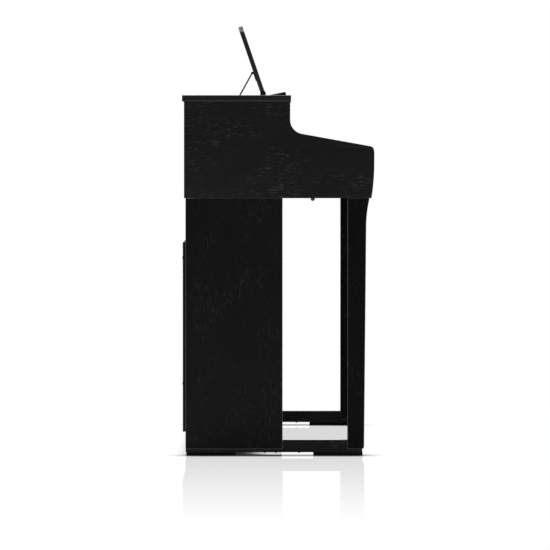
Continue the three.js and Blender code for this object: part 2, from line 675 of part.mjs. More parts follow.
// Corners of one white key from its rear left to its rear right, round its front.
function whiteCorners(white, rear) {
  const half = BLACK_WIDTH / 2 + BLACK_CLEARANCE;
  const left = whiteLeft(white) + KEY_GAP / 2;
  const right = whiteLeft(white + 1) - KEY_GAP / 2;
  const neckLeft = blackAfter(white - 1) ? blackCentre(white - 1) + half : left;
  const neckRight = blackAfter(white) ? blackCentre(white) - half : right;
  const leftSide = neckLeft > left ? [[neckLeft, rear], [neckLeft, headRear], [left, headRear]] : [[left, rear]];
  const rightSide = neckRight < right
    ? [[right, headRear], [neckRight, headRear], [neckRight, rear]]
    : [[right, rear]];
  return [...leftSide, [left, whiteFront], [right, whiteFront], ...rightSide];
}

function whiteRow(name, first, last) {
  const corners = [[whiteLeft(first) + KEY_GAP / 2, whiteRear]];
  for (let white = first; white <= last; white += 1) {
    corners.push(...whiteCorners(white, railFront));
  }
  corners.push([whiteLeft(last + 1) - KEY_GAP / 2, whiteRear]);
  place(name, pushAlongZ(outline(corners), whiteBottom, whiteTop), WHITE_PLASTIC());
}

// The middle octave's own keys: the neck runs on past the rail's place to the pivot.
function whiteKey(name, white) {
  const corners = whiteCorners(white, whiteRear);
  place(name, pushAlongZ(outline(corners), whiteBottom, whiteTop), WHITE_PLASTIC());
}

const tailBottom = whiteTop + TAIL_CLEARANCE;
const blackFront = headRear + BLACK_FRONT_GAP;
const blackFootFront = blackPivot - BLACK_FOOT_DEPTH / 2;
const blackFootRear = blackPivot + BLACK_FOOT_DEPTH / 2;
const blackBodyRear = railFront - KEY_RAIL_GAP;

// Side view of a black key: raised playing part, tail over the white keys' rail, foot on its pivot.
function blackProfile() {
  return outline([
    [blackFront, whiteBottom + BLACK_LIFT],
    [blackBodyRear, whiteBottom + BLACK_LIFT],
    [blackBodyRear, tailBottom],
    [blackFootFront, tailBottom],
    [blackFootFront, whiteBottom],
    [blackFootRear, whiteBottom],
    [blackFootRear, tailBottom + TAIL_THICKNESS],
    [nameFront + BLACK_STEP_SETBACK + BLACK_STEP_RUN, tailBottom + TAIL_THICKNESS],
    [nameFront + BLACK_STEP_SETBACK, blackTop],
    [blackFront + BLACK_SLOPE, blackTop],
    [blackFront, whiteTop - BLACK_CHEST],
  ]);
}

function blackKeyGeometry(white) {
  const centre = blackCentre(white);
  return pushAlongX(blackProfile(), centre - BLACK_WIDTH / 2, centre + BLACK_WIDTH / 2);
}

function blackRow(name, first, last) {
  const whites = [];
  for (let white = first; white <= last; white += 1) {
    if (blackAfter(white)) {
      whites.push(white);
    }
  }
  const left = blackCentre(whites[0]) - BLACK_WIDTH / 2;
  const right = blackCentre(whites[whites.length - 1]) + BLACK_WIDTH / 2;
  const rail = block(left, right, blackFootFront, blackFootRear, whiteBottom, tailBottom + TAIL_THICKNESS);
  place(name, joined([rail, ...whites.map(blackKeyGeometry)]), BLACK_PLASTIC());
}

function keyboard() {
  const octave = WHITE_NAMES.length;
  whiteRow('white_keys_bass', 0, FIRST_SPLIT_KEY - 1);
  whiteRow('white_keys_treble', FIRST_SPLIT_KEY + octave, WHITE_COUNT - 1);
  blackRow('black_keys_bass', 0, FIRST_SPLIT_KEY - 1);
  blackRow('black_keys_treble', FIRST_SPLIT_KEY + octave, WHITE_COUNT - 1);
  WHITE_NAMES.forEach((note, index) => {
    const white = FIRST_SPLIT_KEY + index;
    whiteKey(`key_${note}4`, white);
    const black = blackAfter(white);
    if (black) {
      place(`key_${black.name}4`, blackKeyGeometry(white), BLACK_PLASTIC());
    }
  });
}

// Chassis under the keys: a floor, a front stop rail, and one knife edge for each row of keys.
function keyboardFrame() {
  const floor = bedTop + GAP;
  const plateTop = floor + FRAME_FLOOR;
  const blockTop = plateTop + RIDGE_BLOCK_RISE;
  const stopTop = whiteBottom - STOP_DROP;
  const ridgeTop = whiteBottom - GAP;
  const front = whiteFront + FRAME_FRONT_INSET;
  const rear = blackPivot + FRAME_REAR_REACH;
  const shape = outline([
    [front, floor],
    [rear, floor],
    [rear, plateTop],
    [blackPivot + RIDGE_HALF_WIDTH, blockTop],
    [blackPivot + RIDGE_HALF_WIDTH, ridgeTop],
    [blackPivot - RIDGE_HALF_WIDTH, ridgeTop],
    [blackPivot - RIDGE_HALF_WIDTH, blockTop],
    [whitePivot + RIDGE_HALF_WIDTH, blockTop],
    [whitePivot + RIDGE_HALF_WIDTH, ridgeTop],
    [whitePivot - RIDGE_HALF_WIDTH, ridgeTop],
    [whitePivot - RIDGE_HALF_WIDTH, blockTop],
    [whitePivot - RIDGE_BLOCK_RUN, plateTop],
    [front + STOP_DEPTH, plateTop],
    [front + STOP_DEPTH, stopTop],
    [front, stopTop],
  ]);
  const half = cheekInner - GAP;
  place('keyboard_frame', pushAlongX(shape, -half, half), DARK_METAL());
}

// ---------------------------------------------------------------- music rest

const lugX = PROP_SPAN / 2 - PROP_PIN_LENGTH / 2 - LUG_WIDTH / 2;

function musicRest() {
  const group = new THREE.Group();
  group.position.set(0, hingeY, hingeZ);
  group.rotation.x = -REST_TILT;
  piano.add(group);
  const half = REST_THICKNESS / 2;
  const side = REST_WIDTH / 2;
  const cornerX = side - REST_CORNER_RADIUS;
  const cornerZ = REST_HEIGHT - REST_CORNER_RADIUS;
  const shape = new THREE.Shape();
  shape.moveTo(-side, 0);
  shape.lineTo(side, 0);
  shape.absarc(cornerX, cornerZ, REST_CORNER_RADIUS, 0, Math.PI / 2, false);
  shape.absarc(-cornerX, cornerZ, REST_CORNER_RADIUS, Math.PI / 2, Math.PI, false);
  const options = { depth: REST_THICKNESS, bevelEnabled: false, curveSegments: ARC_STEPS };
  const plate = new THREE.ExtrudeGeometry(shape, options).rotateX(Math.PI / 2).translate(0, half, 0);
  const barrel = bar(new THREE.Vector3(-side, 0, 0), new THREE.Vector3(side, 0, 0), half, ROUND_SIDES);
  const bore = bar(
    new THREE.Vector3(-side - PAST, 0, 0),
    new THREE.Vector3(side + PAST, 0, 0),
    HINGE_PIN_RADIUS + GAP,
    ROUND_SIDES,
  );
  const lugs = [-1, 1].flatMap((sign) => {
    const x0 = sign * lugX - LUG_WIDTH / 2;
    const x1 = sign * lugX + LUG_WIDTH / 2;
    const centre0 = new THREE.Vector3(x0, propPivotOut, PROP_PIVOT_UP);
    const centre1 = new THREE.Vector3(x1, propPivotOut, PROP_PIVOT_UP);
    const up = PROP_PIVOT_UP;
    const base = block(x0, x1, half - PAST, propPivotOut, up - lugRadius, up + lugRadius);
    const plate = block(
      x0 - LUG_PLATE_MARGIN, x1 + LUG_PLATE_MARGIN,
      half - PAST, half + LUG_PLATE_THICKNESS,
      up - LUG_PLATE_LENGTH, up,
    );
    return [base, bar(centre0, centre1, lugRadius, ROUND_SIDES), plate];
  });
  const reach = PROP_SPAN / 2 + LUG_WIDTH;
  const pinHole = bar(
    new THREE.Vector3(-reach, propPivotOut, PROP_PIVOT_UP),
    new THREE.Vector3(reach, propPivotOut, PROP_PIVOT_UP),
    PROP_WIRE_RADIUS + GAP,
  );
  place('music_rest', cut(joined([plate, barrel, ...lugs]), [bore, pinHole]), WOOD(), group);
}

// One bent wire: two pins turned inward, two legs, and the foot between them.
function restProp() {
  const half = PROP_SPAN / 2;
  const inner = half - PROP_PIN_LENGTH;
  const points = [
    new THREE.Vector3(-inner, propPivotY, propPivotZ),
    new THREE.Vector3(-half, propPivotY, propPivotZ),
    new THREE.Vector3(-half, propFootY, lidTop),
    new THREE.Vector3(half, propFootY, lidTop),
    new THREE.Vector3(half, propPivotY, propPivotZ),
    new THREE.Vector3(inner, propPivotY, propPivotZ),
  ];
  const pieces = [];
  for (let index = 0; index < points.length - 1; index += 1) {
    pieces.push(bar(points[index], points[index + 1], PROP_WIRE_RADIUS));
  }
  for (const corner of points.slice(1, -1)) {
    const ball = new THREE.SphereGeometry(PROP_WIRE_RADIUS, WIRE_SIDES, WIRE_SIDES / 2);
    pieces.push(ball.translate(corner.x, corner.y, corner.z));
  }
  place('rest_prop', joined(pieces), STEEL());
}

function restHinges() {
  bothSides((side, x, sign) => {
    const base = lidTop + GAP;
    const half = HINGE_BLOCK_WIDTH / 2;
    const shape = new THREE.Shape();
    shape.moveTo(hingeY + half, base);
    shape.lineTo(hingeY + half, hingeZ);
    shape.absarc(hingeY, hingeZ, half, 0, Math.PI, false);
    shape.lineTo(hingeY - half, base);
    const inner = REST_WIDTH / 2 + HINGE_SIDE_GAP;
    const body = pushAlongX(shape, ...x(inner, inner + HINGE_BLOCK_DEPTH));
    const pin = bar(
      new THREE.Vector3(sign * (inner + PAST), hingeY, hingeZ),
      new THREE.Vector3(sign * (inner - HINGE_PIN_LENGTH), hingeY, hingeZ),
      HINGE_PIN_RADIUS,
    );
    place(`${side}_rest_hinge`, joined([body, pin]), BLACK_PLASTIC());
  });
}

// Wedge that rises towards the player, so that a book's foot rests against the music rest.
function bookLedge() {
  const front = boxFront + LEDGE_SETBACK;
  const rear = front + LEDGE_DEPTH;
  const base = lidTop + GAP;
  const top = lidTop + LEDGE_RISE;
  const shape = outline([
    [rear, base],
    [rear, base + LEDGE_REAR_THICKNESS],
    [front + LEDGE_LEAN + LEDGE_CREST, top],
    [front + LEDGE_LEAN, top],
    [front, base],
  ]);
  place('book_ledge', pushAlongX(shape, -REST_WIDTH / 2, REST_WIDTH / 2), BLACK_PLASTIC());
}

// ---------------------------------------------------------------- electronics

function mainBoard() {
  const x0 = SPEAKER_SPREAD - SPEAKER_RADIUS - BOARD_SPEAKER_GAP - BOARD_SIZE.x;
  const y0 = backFront - SPEAKER_BACK_GAP - BOARD_SIZE.y;
  const under = bedTop + GAP;
  const z0 = under + BOARD_STANDOFF;
  const top = z0 + BOARD_SIZE.z;
  const sunk = top - BOARD_SIZE.z / 2;
  const board = block(x0, x0 + BOARD_SIZE.x, y0, y0 + BOARD_SIZE.y, z0, top);
  const corners = [[0, 0], [1, 0], [0, 1], [1, 1]];
  const posts = corners.map(([right, rear]) => {
    const x = x0 + POST_INSET + right * (BOARD_SIZE.x - 2 * POST_INSET);
    const y = y0 + POST_INSET + rear * (BOARD_SIZE.y - 2 * POST_INSET);
    return bar(new THREE.Vector3(x, y, under), new THREE.Vector3(x, y, sunk), POST_RADIUS, 8);
  });
  const standing = (x, y, size) => block(x, x + size.x, y, y + size.y, sunk, top + size.z);
  const chip = standing(x0 + CHIP_INSET, y0 + CHIP_INSET, CHIP_SIZE);
  const heatSink = standing(x0 + HEAT_SINK_PLACE.x, y0 + HEAT_SINK_PLACE.y, HEAT_SINK_SIZE);
  place('main_board', joined([board, ...posts, chip, heatSink]), CIRCUIT());
}

// Drive unit facing down: flat rim, basket, magnet, and the cone's hollow open to the floor.
function speakers() {
  const coneRadius = SPEAKER_RADIUS - SPEAKER_RIM - CONE_LAND;
  const profile = [
    [0, SPEAKER_DEPTH],
    [0, CONE_DEPTH],
    [CONE_CENTRE, CONE_DEPTH],
    [coneRadius, CONE_LIP],
    [coneRadius + CONE_LIP, 0],
    [SPEAKER_RADIUS, 0],
    [SPEAKER_RADIUS, RIM_THICKNESS],
    [MAGNET_RADIUS, SPEAKER_DEPTH - MAGNET_LENGTH],
    [MAGNET_RADIUS, SPEAKER_DEPTH],
    [0, SPEAKER_DEPTH],
  ];
  bothSides((side, x, sign) => {
    const points = profile.map(([r, z]) => new THREE.Vector2(r, z));
    const turned = new THREE.LatheGeometry(points, ROUND_SIDES).rotateX(Math.PI / 2);
    const speaker = place(`${side}_speaker`, turned, DARK_METAL());
    speaker.position.set(sign * SPEAKER_SPREAD, speakerY, bedTop + GAP);
  });
}

// Box under the key bed, behind the left front corner, with two sockets that face the player.
function headphoneBox() {
  const x0 = -cheekOuter + HEADPHONE_BOX_INSET;
  const front = legFront + HEADPHONE_BOX_SETBACK;
  const top = footTop;
  const body = block(x0, x0 + HEADPHONE_BOX.x, front, front + HEADPHONE_BOX.y, top - HEADPHONE_BOX.z, top);
  const middle = x0 + HEADPHONE_BOX.x / 2;
  const z = top - HEADPHONE_BOX.z / 2;
  const jacks = [-1, 1].map((sign) => {
    const x = middle + sign * JACK_PITCH / 2;
    const mouth = new THREE.Vector3(x, front - PAST, z);
    return bar(mouth, new THREE.Vector3(x, front + JACK_DEPTH, z), JACK_RADIUS, ROUND_SIDES);
  });
  place('headphone_box', cut(body, jacks), BLACK_PLASTIC());
}

// Bent strip drawn in (X, Z): a fixed tab, a step down, and a tongue with an upturned tip. Its
// underside is round, so that a headphone's band isn't marked.
function headphoneHook() {
  const top = footTop;
  const low = top - 2 * HOOK_SHEET - HOOK_GAP;
  const x0 = HOOK_INSET - columnInner;
  const x1 = x0 + HOOK_LENGTH;
  const bend = x0 + HOOK_TAB;
  const points = [
    [x0, top],
    [x0, top - HOOK_SHEET],
    [bend, top - HOOK_SHEET],
    [bend, low],
    [x1, low],
    [x1, low + HOOK_SHEET + HOOK_TIP],
    [x1 - HOOK_SHEET, low + HOOK_SHEET + HOOK_TIP],
    [x1 - HOOK_SHEET, low + HOOK_SHEET],
    [bend + HOOK_SHEET, low + HOOK_SHEET],
    [bend + HOOK_SHEET, top],
  ];
  const rear = legRear + HOOK_SETBACK;
  const front = rear - HOOK_WIDTH;
  const strip = new THREE.ExtrudeGeometry(outline(points), { depth: HOOK_WIDTH, bevelEnabled: false });
  strip.rotateX(Math.PI / 2).translate(0, rear, 0);
  const round = HOOK_WIDTH / 2;
  const section = new THREE.Shape();
  section.moveTo(rear, top + PAST);
  section.lineTo(front, top + PAST);
  section.absarc((front + rear) / 2, low + round, round, Math.PI, 2 * Math.PI, false);
  const rounded = toSolid(strip).intersect(toSolid(pushAlongX(section, x0 - PAST, x1 + PAST)));
  place('headphone_hook', fromSolid(rounded), STEEL());
}

// ---------------------------------------------------------------- stand

function columns() {
  bothSides((side, x) => {
    const range = x(columnInner, standOuter);
    place(`${side}_column`, block(...range, columnFront, columnRear, STRIP_TOP + GAP, footTop), WOOD());
  });
}

// Leg with a straight rear edge; its front edge leans in to the foot and flares out at the top.
function frontLegs() {
  const shape = new THREE.Shape();
  const flareStart = footTop - LEG_FLARE_HEIGHT;
  const flareFront = legFront - LEG_FLARE;
  shape.moveTo(legRear, STRIP_TOP + GAP);
  shape.lineTo(legRear, footTop);
  shape.lineTo(flareFront, footTop);
  shape.quadraticCurveTo(legFront, footTop - LEG_FLARE_HEIGHT / 2, legFront, flareStart);
  shape.lineTo(legFoot, STRIP_TOP + GAP + LEG_TOE_RISE);
  shape.quadraticCurveTo(legFoot, STRIP_TOP + GAP, legFoot + LEG_TOE_DEPTH, STRIP_TOP + GAP);
  bothSides((side, x) => {
    place(`${side}_front_leg`, pushAlongX(shape, ...x(standOuter - LEG_WIDTH, standOuter)), WOOD());
  });
}

// Low strip under the column and the leg, raised between them to the bar that ties them.
function footBars() {
  const rear = columnRear - STRIP_REAR_INSET;
  const front = legFoot + STRIP_FRONT_INSET;
  const shape = outline([
    [front, PAD_HEIGHT + GAP],
    [rear, PAD_HEIGHT + GAP],
    [rear, STRIP_TOP],
    [columnFront - GAP, STRIP_TOP],
    [columnFront - GAP, BAR_TOP],
    [legRear + GAP, BAR_TOP],
    [legRear + GAP, STRIP_TOP],
    [front, STRIP_TOP],
  ]);
  bothSides((side, x) => {
    place(`${side}_foot_bar`, pushAlongX(shape, ...x(columnInner, standOuter)), WOOD());
  });
}

function floorPads() {
  const middle = (columnInner + standOuter) / 2;
  const rear = columnRear - PAD_REAR_INSET;
  const front = legFoot + PAD_FRONT_INSET;
  bothSides((side, x) => {
    const range = x(middle - PAD_WIDTH / 2, middle + PAD_WIDTH / 2);
    place(`${side}_rear_pad`, block(...range, rear - PAD_LENGTH, rear, 0, PAD_HEIGHT), RUBBER());
    place(`${side}_front_pad`, block(...range, front, front + PAD_LENGTH, 0, PAD_HEIGHT), RUBBER());
  });
}

function standBackBoard() {
  const front = columnRear + GAP;
  const top = KEYBED_HEIGHT - BOARD_DROP;
  const half = standOuter - STAND_INSET;
  const board = block(-half, half, front, front + STAND_BOARD_THICKNESS, BOARD_BOTTOM, top);
  place('stand_back_board', board, WOOD());
}

// ---------------------------------------------------------------- pedals

const pedalX = [-PEDAL_PITCH, 0, PEDAL_PITCH];
const adjusterY = pedalBoxFront + ADJUSTER_SETBACK;

// Channel between the columns, open at the rear, with a slot for each pedal and a knife edge inside.
function pedalBox() {
  const top = PEDAL_BOX_BOTTOM + PEDAL_BOX_HEIGHT;
  const floor = PEDAL_BOX_BOTTOM + PEDAL_BOX_WALL;
  const ridge = PEDAL_BOX_WALL / 4;
  const shape = outline([
    [pedalBoxFront, PEDAL_BOX_BOTTOM],
    [boxRear, PEDAL_BOX_BOTTOM],
    [boxRear, floor],
    [pedalPivot + ridge, floor],
    [pedalPivot + ridge, pedalBottom - GAP],
    [pedalPivot - ridge, pedalBottom - GAP],
    [pedalPivot - ridge, floor],
    [pedalBoxFront + PEDAL_BOX_WALL, floor],
    [pedalBoxFront + PEDAL_BOX_WALL, top - PEDAL_BOX_WALL],
    [boxRear, top - PEDAL_BOX_WALL],
    [boxRear, top],
    [pedalBoxFront, top],
  ]);
  const half = columnInner - GAP;
  const drop = (pedalPivot - pedalBoxFront) * Math.tan(PEDAL_TRAVEL);
  const slots = pedalX.map((x) => block(
    x - PEDAL_NECK / 2 - PEDAL_CLEARANCE, x + PEDAL_NECK / 2 + PEDAL_CLEARANCE,
    pedalBoxFront - PAST, pedalBoxFront + PEDAL_BOX_WALL + PAST,
    pedalBottom - drop - PEDAL_CLEARANCE, pedalBottom + PEDAL_THICKNESS + PEDAL_CLEARANCE,
  ));
  const adjusterHole = bar(
    new THREE.Vector3(PEDAL_PITCH / 2, adjusterY, PEDAL_BOX_BOTTOM - PAST),
    new THREE.Vector3(PEDAL_PITCH / 2, adjusterY, floor + PAST),
    ADJUSTER_STEM + GAP,
    ROUND_SIDES,
  );
  place('pedal_box', cut(pushAlongX(shape, -half, half), [...slots, adjusterHole]), WOOD());
}

// Plan of one pedal: a narrow neck that widens to a round toe.
function pedals() {
  const toe = pedalBoxFront - PEDAL_REACH;
  const rear = pedalPivot + PEDAL_TAIL;
  const wide = PEDAL_WIDTH / 2;
  const neck = PEDAL_NECK / 2;
  ['soft', 'sostenuto', 'damper'].forEach((name, index) => {
    const x = pedalX[index];
    const shape = new THREE.Shape();
    shape.moveTo(x - neck, rear);
    shape.lineTo(x - neck, pedalBoxFront - SHOULDER_REAR);
    shape.lineTo(x - wide, pedalBoxFront - SHOULDER_FRONT);
    shape.lineTo(x - wide, toe + wide);
    shape.absarc(x, toe + wide, wide, Math.PI, 2 * Math.PI, false);
    shape.lineTo(x + wide, pedalBoxFront - SHOULDER_FRONT);
    shape.lineTo(x + neck, pedalBoxFront - SHOULDER_REAR);
    shape.lineTo(x + neck, rear);
    place(`${name}_pedal`, pushAlongZ(shape, pedalBottom, pedalBottom + PEDAL_THICKNESS), BRASS());
  });
}

// Screw foot that steadies the pedal box on the floor.
function pedalAdjuster() {
  const profile = [
    [0, GAP],
    [ADJUSTER_RADIUS, GAP],
    [ADJUSTER_RADIUS, ADJUSTER_DISC],
    [ADJUSTER_STEM, ADJUSTER_CONE],
    [ADJUSTER_STEM, PEDAL_BOX_BOTTOM + PEDAL_BOX_WALL],
    [0, PEDAL_BOX_BOTTOM + PEDAL_BOX_WALL],
  ];
  const points = profile.map(([r, z]) => new THREE.Vector2(r, z));
  const turned = new THREE.LatheGeometry(points, ROUND_SIDES).rotateX(Math.PI / 2);
  const adjuster = place('pedal_adjuster', turned, BLACK_PLASTIC());
  adjuster.position.set(PEDAL_PITCH / 2, adjusterY, 0);
}

topBoard();
sidePanels();
keyBed();
cabinetBack();
rearJackPlate();
upperFrontPanel();
keySlip();
cheekBlocks();
controls();
nameBoard();
keyCover();
coverRails();
keyboard();
keyboardFrame();
musicRest();
restProp();
restHinges();
bookLedge();
mainBoard();
speakers();
headphoneBox();
headphoneHook();
columns();
frontLegs();
footBars();
floorPads();
standBackBoard();
pedalBox();
pedals();
pedalAdjuster();

export default piano;
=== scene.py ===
"""Looks of a digital piano on its stand: black woodgrain boards, keys, pedals and fittings."""

import json
import math

import bmesh
import bpy
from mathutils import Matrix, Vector


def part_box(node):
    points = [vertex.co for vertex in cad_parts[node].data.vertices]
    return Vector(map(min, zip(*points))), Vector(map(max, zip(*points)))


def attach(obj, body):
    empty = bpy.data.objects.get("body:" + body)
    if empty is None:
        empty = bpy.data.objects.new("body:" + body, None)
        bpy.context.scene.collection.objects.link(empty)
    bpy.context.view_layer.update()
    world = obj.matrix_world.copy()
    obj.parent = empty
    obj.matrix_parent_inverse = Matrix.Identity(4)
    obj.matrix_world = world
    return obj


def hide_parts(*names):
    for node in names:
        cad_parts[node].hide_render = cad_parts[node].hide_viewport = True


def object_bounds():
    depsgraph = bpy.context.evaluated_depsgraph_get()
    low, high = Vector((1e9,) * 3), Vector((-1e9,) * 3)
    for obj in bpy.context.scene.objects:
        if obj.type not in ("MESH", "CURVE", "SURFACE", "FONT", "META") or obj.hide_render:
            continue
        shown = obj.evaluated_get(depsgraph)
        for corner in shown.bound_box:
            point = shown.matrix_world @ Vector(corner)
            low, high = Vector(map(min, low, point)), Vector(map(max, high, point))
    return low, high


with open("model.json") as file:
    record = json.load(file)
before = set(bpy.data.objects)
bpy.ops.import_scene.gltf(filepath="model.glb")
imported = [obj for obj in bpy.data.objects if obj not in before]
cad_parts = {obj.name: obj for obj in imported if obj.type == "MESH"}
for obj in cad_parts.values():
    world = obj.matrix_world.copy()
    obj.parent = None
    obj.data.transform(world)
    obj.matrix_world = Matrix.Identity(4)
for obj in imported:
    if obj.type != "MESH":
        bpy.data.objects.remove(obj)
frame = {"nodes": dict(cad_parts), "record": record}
cad_low, cad_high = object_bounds()

MM = 0.001
NODES = frame["nodes"]


# ---------------------------------------------------------------- camera

CAMERA_DISTANCE = 12.5  # from the bass side panel's outer face
CAMERA_HEIGHT = 0.744
CAMERA_ASIDE = 0.0077  # towards the rear
CAMERA_PITCH = math.radians(1.405)
SENSOR = 36.0
FIELD_WIDTH = 1.3292  # seen across the picture at that panel
FAR_CLIP = 100


def make_camera():
    data = bpy.data.cameras.new("camera")
    data.sensor_width = SENSOR
    data.lens = SENSOR * CAMERA_DISTANCE / FIELD_WIDTH
    data.clip_end = FAR_CLIP
    camera = bpy.data.objects.new("camera", data)
    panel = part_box("left_side_panel")[0][0]
    camera.location = (panel - CAMERA_DISTANCE, CAMERA_ASIDE, CAMERA_HEIGHT)
    camera.rotation_euler = (math.pi / 2 - CAMERA_PITCH, 0, -math.pi / 2)
    bpy.context.collection.objects.link(camera)
    bpy.context.scene.camera = camera


make_camera()


# ---------------------------------------------------------------- nodes and colours


def linear(hex_colour):
    """An sRGB hex colour as the linear RGBA that a shader takes."""
    channels = [int(hex_colour[place:place + 2], 16) / 255 for place in (1, 3, 5)]
    bent = [c / 12.92 if c <= 0.04045 else ((c + 0.055) / 1.055) ** 2.4 for c in channels]
    return (*bent, 1.0)


def even_tone(level):
    """The same share of red, green and blue."""
    return (level, level, level, 1.0)


def add(tree, kind, inputs=None, **settings):
    """Adds a node with its settings; each input takes a value or another node's output."""
    made = tree.nodes.new(kind)
    for key, value in settings.items():
        setattr(made, key, value)
    for socket, value in (inputs or {}).items():
        if isinstance(value, bpy.types.NodeSocket):
            tree.links.new(value, made.inputs[socket])
        else:
            made.inputs[socket].default_value = value
    return made


def new_material(name):
    material = bpy.data.materials.new(name)
    material.use_nodes = True
    material.node_tree.nodes.clear()
    return material, material.node_tree


def finish_material(tree, shader):
    add(tree, "ShaderNodeOutputMaterial", {"Surface": shader.outputs[0]})


def object_position(tree, scale):
    """The piece's own coordinates, multiplied along each axis."""
    place = add(tree, "ShaderNodeTexCoord")
    scaled = add(tree, "ShaderNodeMapping", {"Vector": place.outputs["Object"], "Scale": scale})
    return scaled.outputs[0]


# ---------------------------------------------------------------- materials

PORE_LENGTH = 16 * MM  # embossed pores, drawn coarser than life so that they show
PORE_WIDTH = 2.0 * MM
PORE_RANGE = (0.57, 0.68)  # only the strongest pores show
FIGURE_LENGTH = 260 * MM  # slow bands of the printed figure
FIGURE_WIDTH = 13 * MM
SWAY = 12 * MM  # how far the grain wanders from a straight line
SWAY_LENGTH = 180 * MM
SWAY_WIDTH = 90 * MM
PATCH_LENGTH = 110 * MM  # patches where the pores crowd together
PATCH_WIDTH = 45 * MM
PATCH_RANGE = (0.44, 0.62)
PATCH_LEAST = 0.12  # share of the pores left outside the patches
EMBOSS_DEPTH = 0.12 * MM
FOIL_ROUGHNESS = (0.40, 0.50)
VINYL_IOR = 1.46
ABS_IOR = 1.52


def grain_scale(along, length, width):
    """A pattern drawn out along one axis."""
    scale = [1 / width] * 3
    scale["XYZ".index(along)] = 1 / length
    return scale


def even_scale(size):
    """A pattern of the same size every way."""
    return (1 / size,) * 3


def woodgrain(name, along, dark, light, pore, gloss=0.5):
    """Black woodgrain vinyl foil, embossed and wrapped on board.

    It gives a near-black satin with short pale pores along the grain and a slow printed figure.
    """
    material, tree = new_material(name)
    sway = add(tree, "ShaderNodeTexNoise", {
        "Vector": object_position(tree, grain_scale(along, SWAY_LENGTH, SWAY_WIDTH)),
        "Scale": 1.0, "Detail": 1.0})
    place = add(tree, "ShaderNodeTexCoord").outputs["Object"]
    lean = add(tree, "ShaderNodeVectorMath", {
        0: sway.outputs["Color"], 1: (0.5, 0.5, 0.5)}, operation="SUBTRACT")
    swayed = add(tree, "ShaderNodeVectorMath", {
        0: lean.outputs[0], 1: (SWAY,) * 3, 2: place}, operation="MULTIPLY_ADD")
    pore_place = add(tree, "ShaderNodeMapping", {
        "Vector": swayed.outputs[0], "Scale": grain_scale(along, PORE_LENGTH, PORE_WIDTH)})
    pores = add(tree, "ShaderNodeTexNoise", {
        "Vector": pore_place.outputs[0], "Scale": 1.0, "Detail": 2.0, "Roughness": 0.45})
    figure_place = add(tree, "ShaderNodeMapping", {
        "Vector": swayed.outputs[0], "Scale": grain_scale(along, FIGURE_LENGTH, FIGURE_WIDTH)})
    figure = add(tree, "ShaderNodeTexNoise", {
        "Vector": figure_place.outputs[0], "Scale": 1.0, "Detail": 3.0, "Roughness": 0.6})
    patches = add(tree, "ShaderNodeTexNoise", {
        "Vector": object_position(tree, grain_scale(along, PATCH_LENGTH, PATCH_WIDTH)),
        "Scale": 1.0, "Detail": 1.0})
    streak = add(tree, "ShaderNodeMapRange", {
        "Value": pores.outputs[0], "From Min": PORE_RANGE[0], "From Max": PORE_RANGE[1]})
    where = add(tree, "ShaderNodeMapRange", {
        "Value": patches.outputs[0], "From Min": PATCH_RANGE[0], "From Max": PATCH_RANGE[1],
        "To Min": PATCH_LEAST})
    seen = add(tree, "ShaderNodeMath", {
        0: streak.outputs[0], 1: where.outputs[0]}, operation="MULTIPLY")
    ground = add(tree, "ShaderNodeMix", {
        "Factor": figure.outputs[0], "A": linear(dark), "B": linear(light)}, data_type="RGBA")
    colour = add(tree, "ShaderNodeMix", {
        "Factor": seen.outputs[0], "A": ground.outputs[2], "B": linear(pore)}, data_type="RGBA")
    rough = add(tree, "ShaderNodeMapRange", {
        "Value": figure.outputs[0], "From Min": 0.3, "From Max": 0.7,
        "To Min": FOIL_ROUGHNESS[0], "To Max": FOIL_ROUGHNESS[1]})
    height = add(tree, "ShaderNodeMath", {
        0: pores.outputs[0], 1: figure.outputs[0]}, operation="ADD")
    bump = add(tree, "ShaderNodeBump", {
        "Height": height.outputs[0], "Strength": 0.35, "Distance": EMBOSS_DEPTH})
    shader = add(tree, "ShaderNodeBsdfPrincipled", {
        "Base Color": colour.outputs[2], "Roughness": rough.outputs[0], "Normal": bump.outputs[0],
        "IOR": VINYL_IOR, "Specular IOR Level": gloss})
    finish_material(tree, shader)
    return material


MOULD_CLOUD = 30 * MM  # slow change of tone over a moulding
MOULD_SPREAD = 0.05  # of its roughness, either way
MOULD_GRIT = 0.8 * MM  # the skin's texture, drawn coarser than life, here and where a finish sets its own
MOULD_DEPTH = 0.02 * MM


def moulded(name, base, worn, roughness, grit=MOULD_GRIT, depth=MOULD_DEPTH, ior=1.5):
    """A moulded, dipped or painted skin with a fine texture: an even, soft sheen."""
    material, tree = new_material(name)
    cloud = add(tree, "ShaderNodeTexNoise", {
        "Vector": object_position(tree, even_scale(MOULD_CLOUD)), "Scale": 1.0, "Detail": 2.0})
    colour = add(tree, "ShaderNodeMix", {
        "Factor": cloud.outputs[0], "A": linear(base), "B": linear(worn)}, data_type="RGBA")
    grain = add(tree, "ShaderNodeTexNoise", {
        "Vector": object_position(tree, even_scale(grit)), "Scale": 1.0, "Detail": 1.0})
    bump = add(tree, "ShaderNodeBump", {
        "Height": grain.outputs[0], "Strength": 0.4, "Distance": depth})
    rough = add(tree, "ShaderNodeMapRange", {
        "Value": cloud.outputs[0],
        "To Min": roughness - MOULD_SPREAD, "To Max": roughness + MOULD_SPREAD})
    shader = add(tree, "ShaderNodeBsdfPrincipled", {
        "Base Color": colour.outputs[2], "Roughness": rough.outputs[0], "Normal": bump.outputs[0],
        "IOR": ior})
    finish_material(tree, shader)
    return material


DRAW_LENGTH = 30 * MM  # lines left by drawing or polishing
DRAW_WIDTH = 0.4 * MM  # drawn coarser than life
DRAW_DEPTH = 0.02 * MM
DRAW_SHINIER = 0.06  # how far a line's roughness falls under the metal's own
DRAW_DULLER = 0.08  # and rises over it
TARNISH_SIZE = 25 * MM


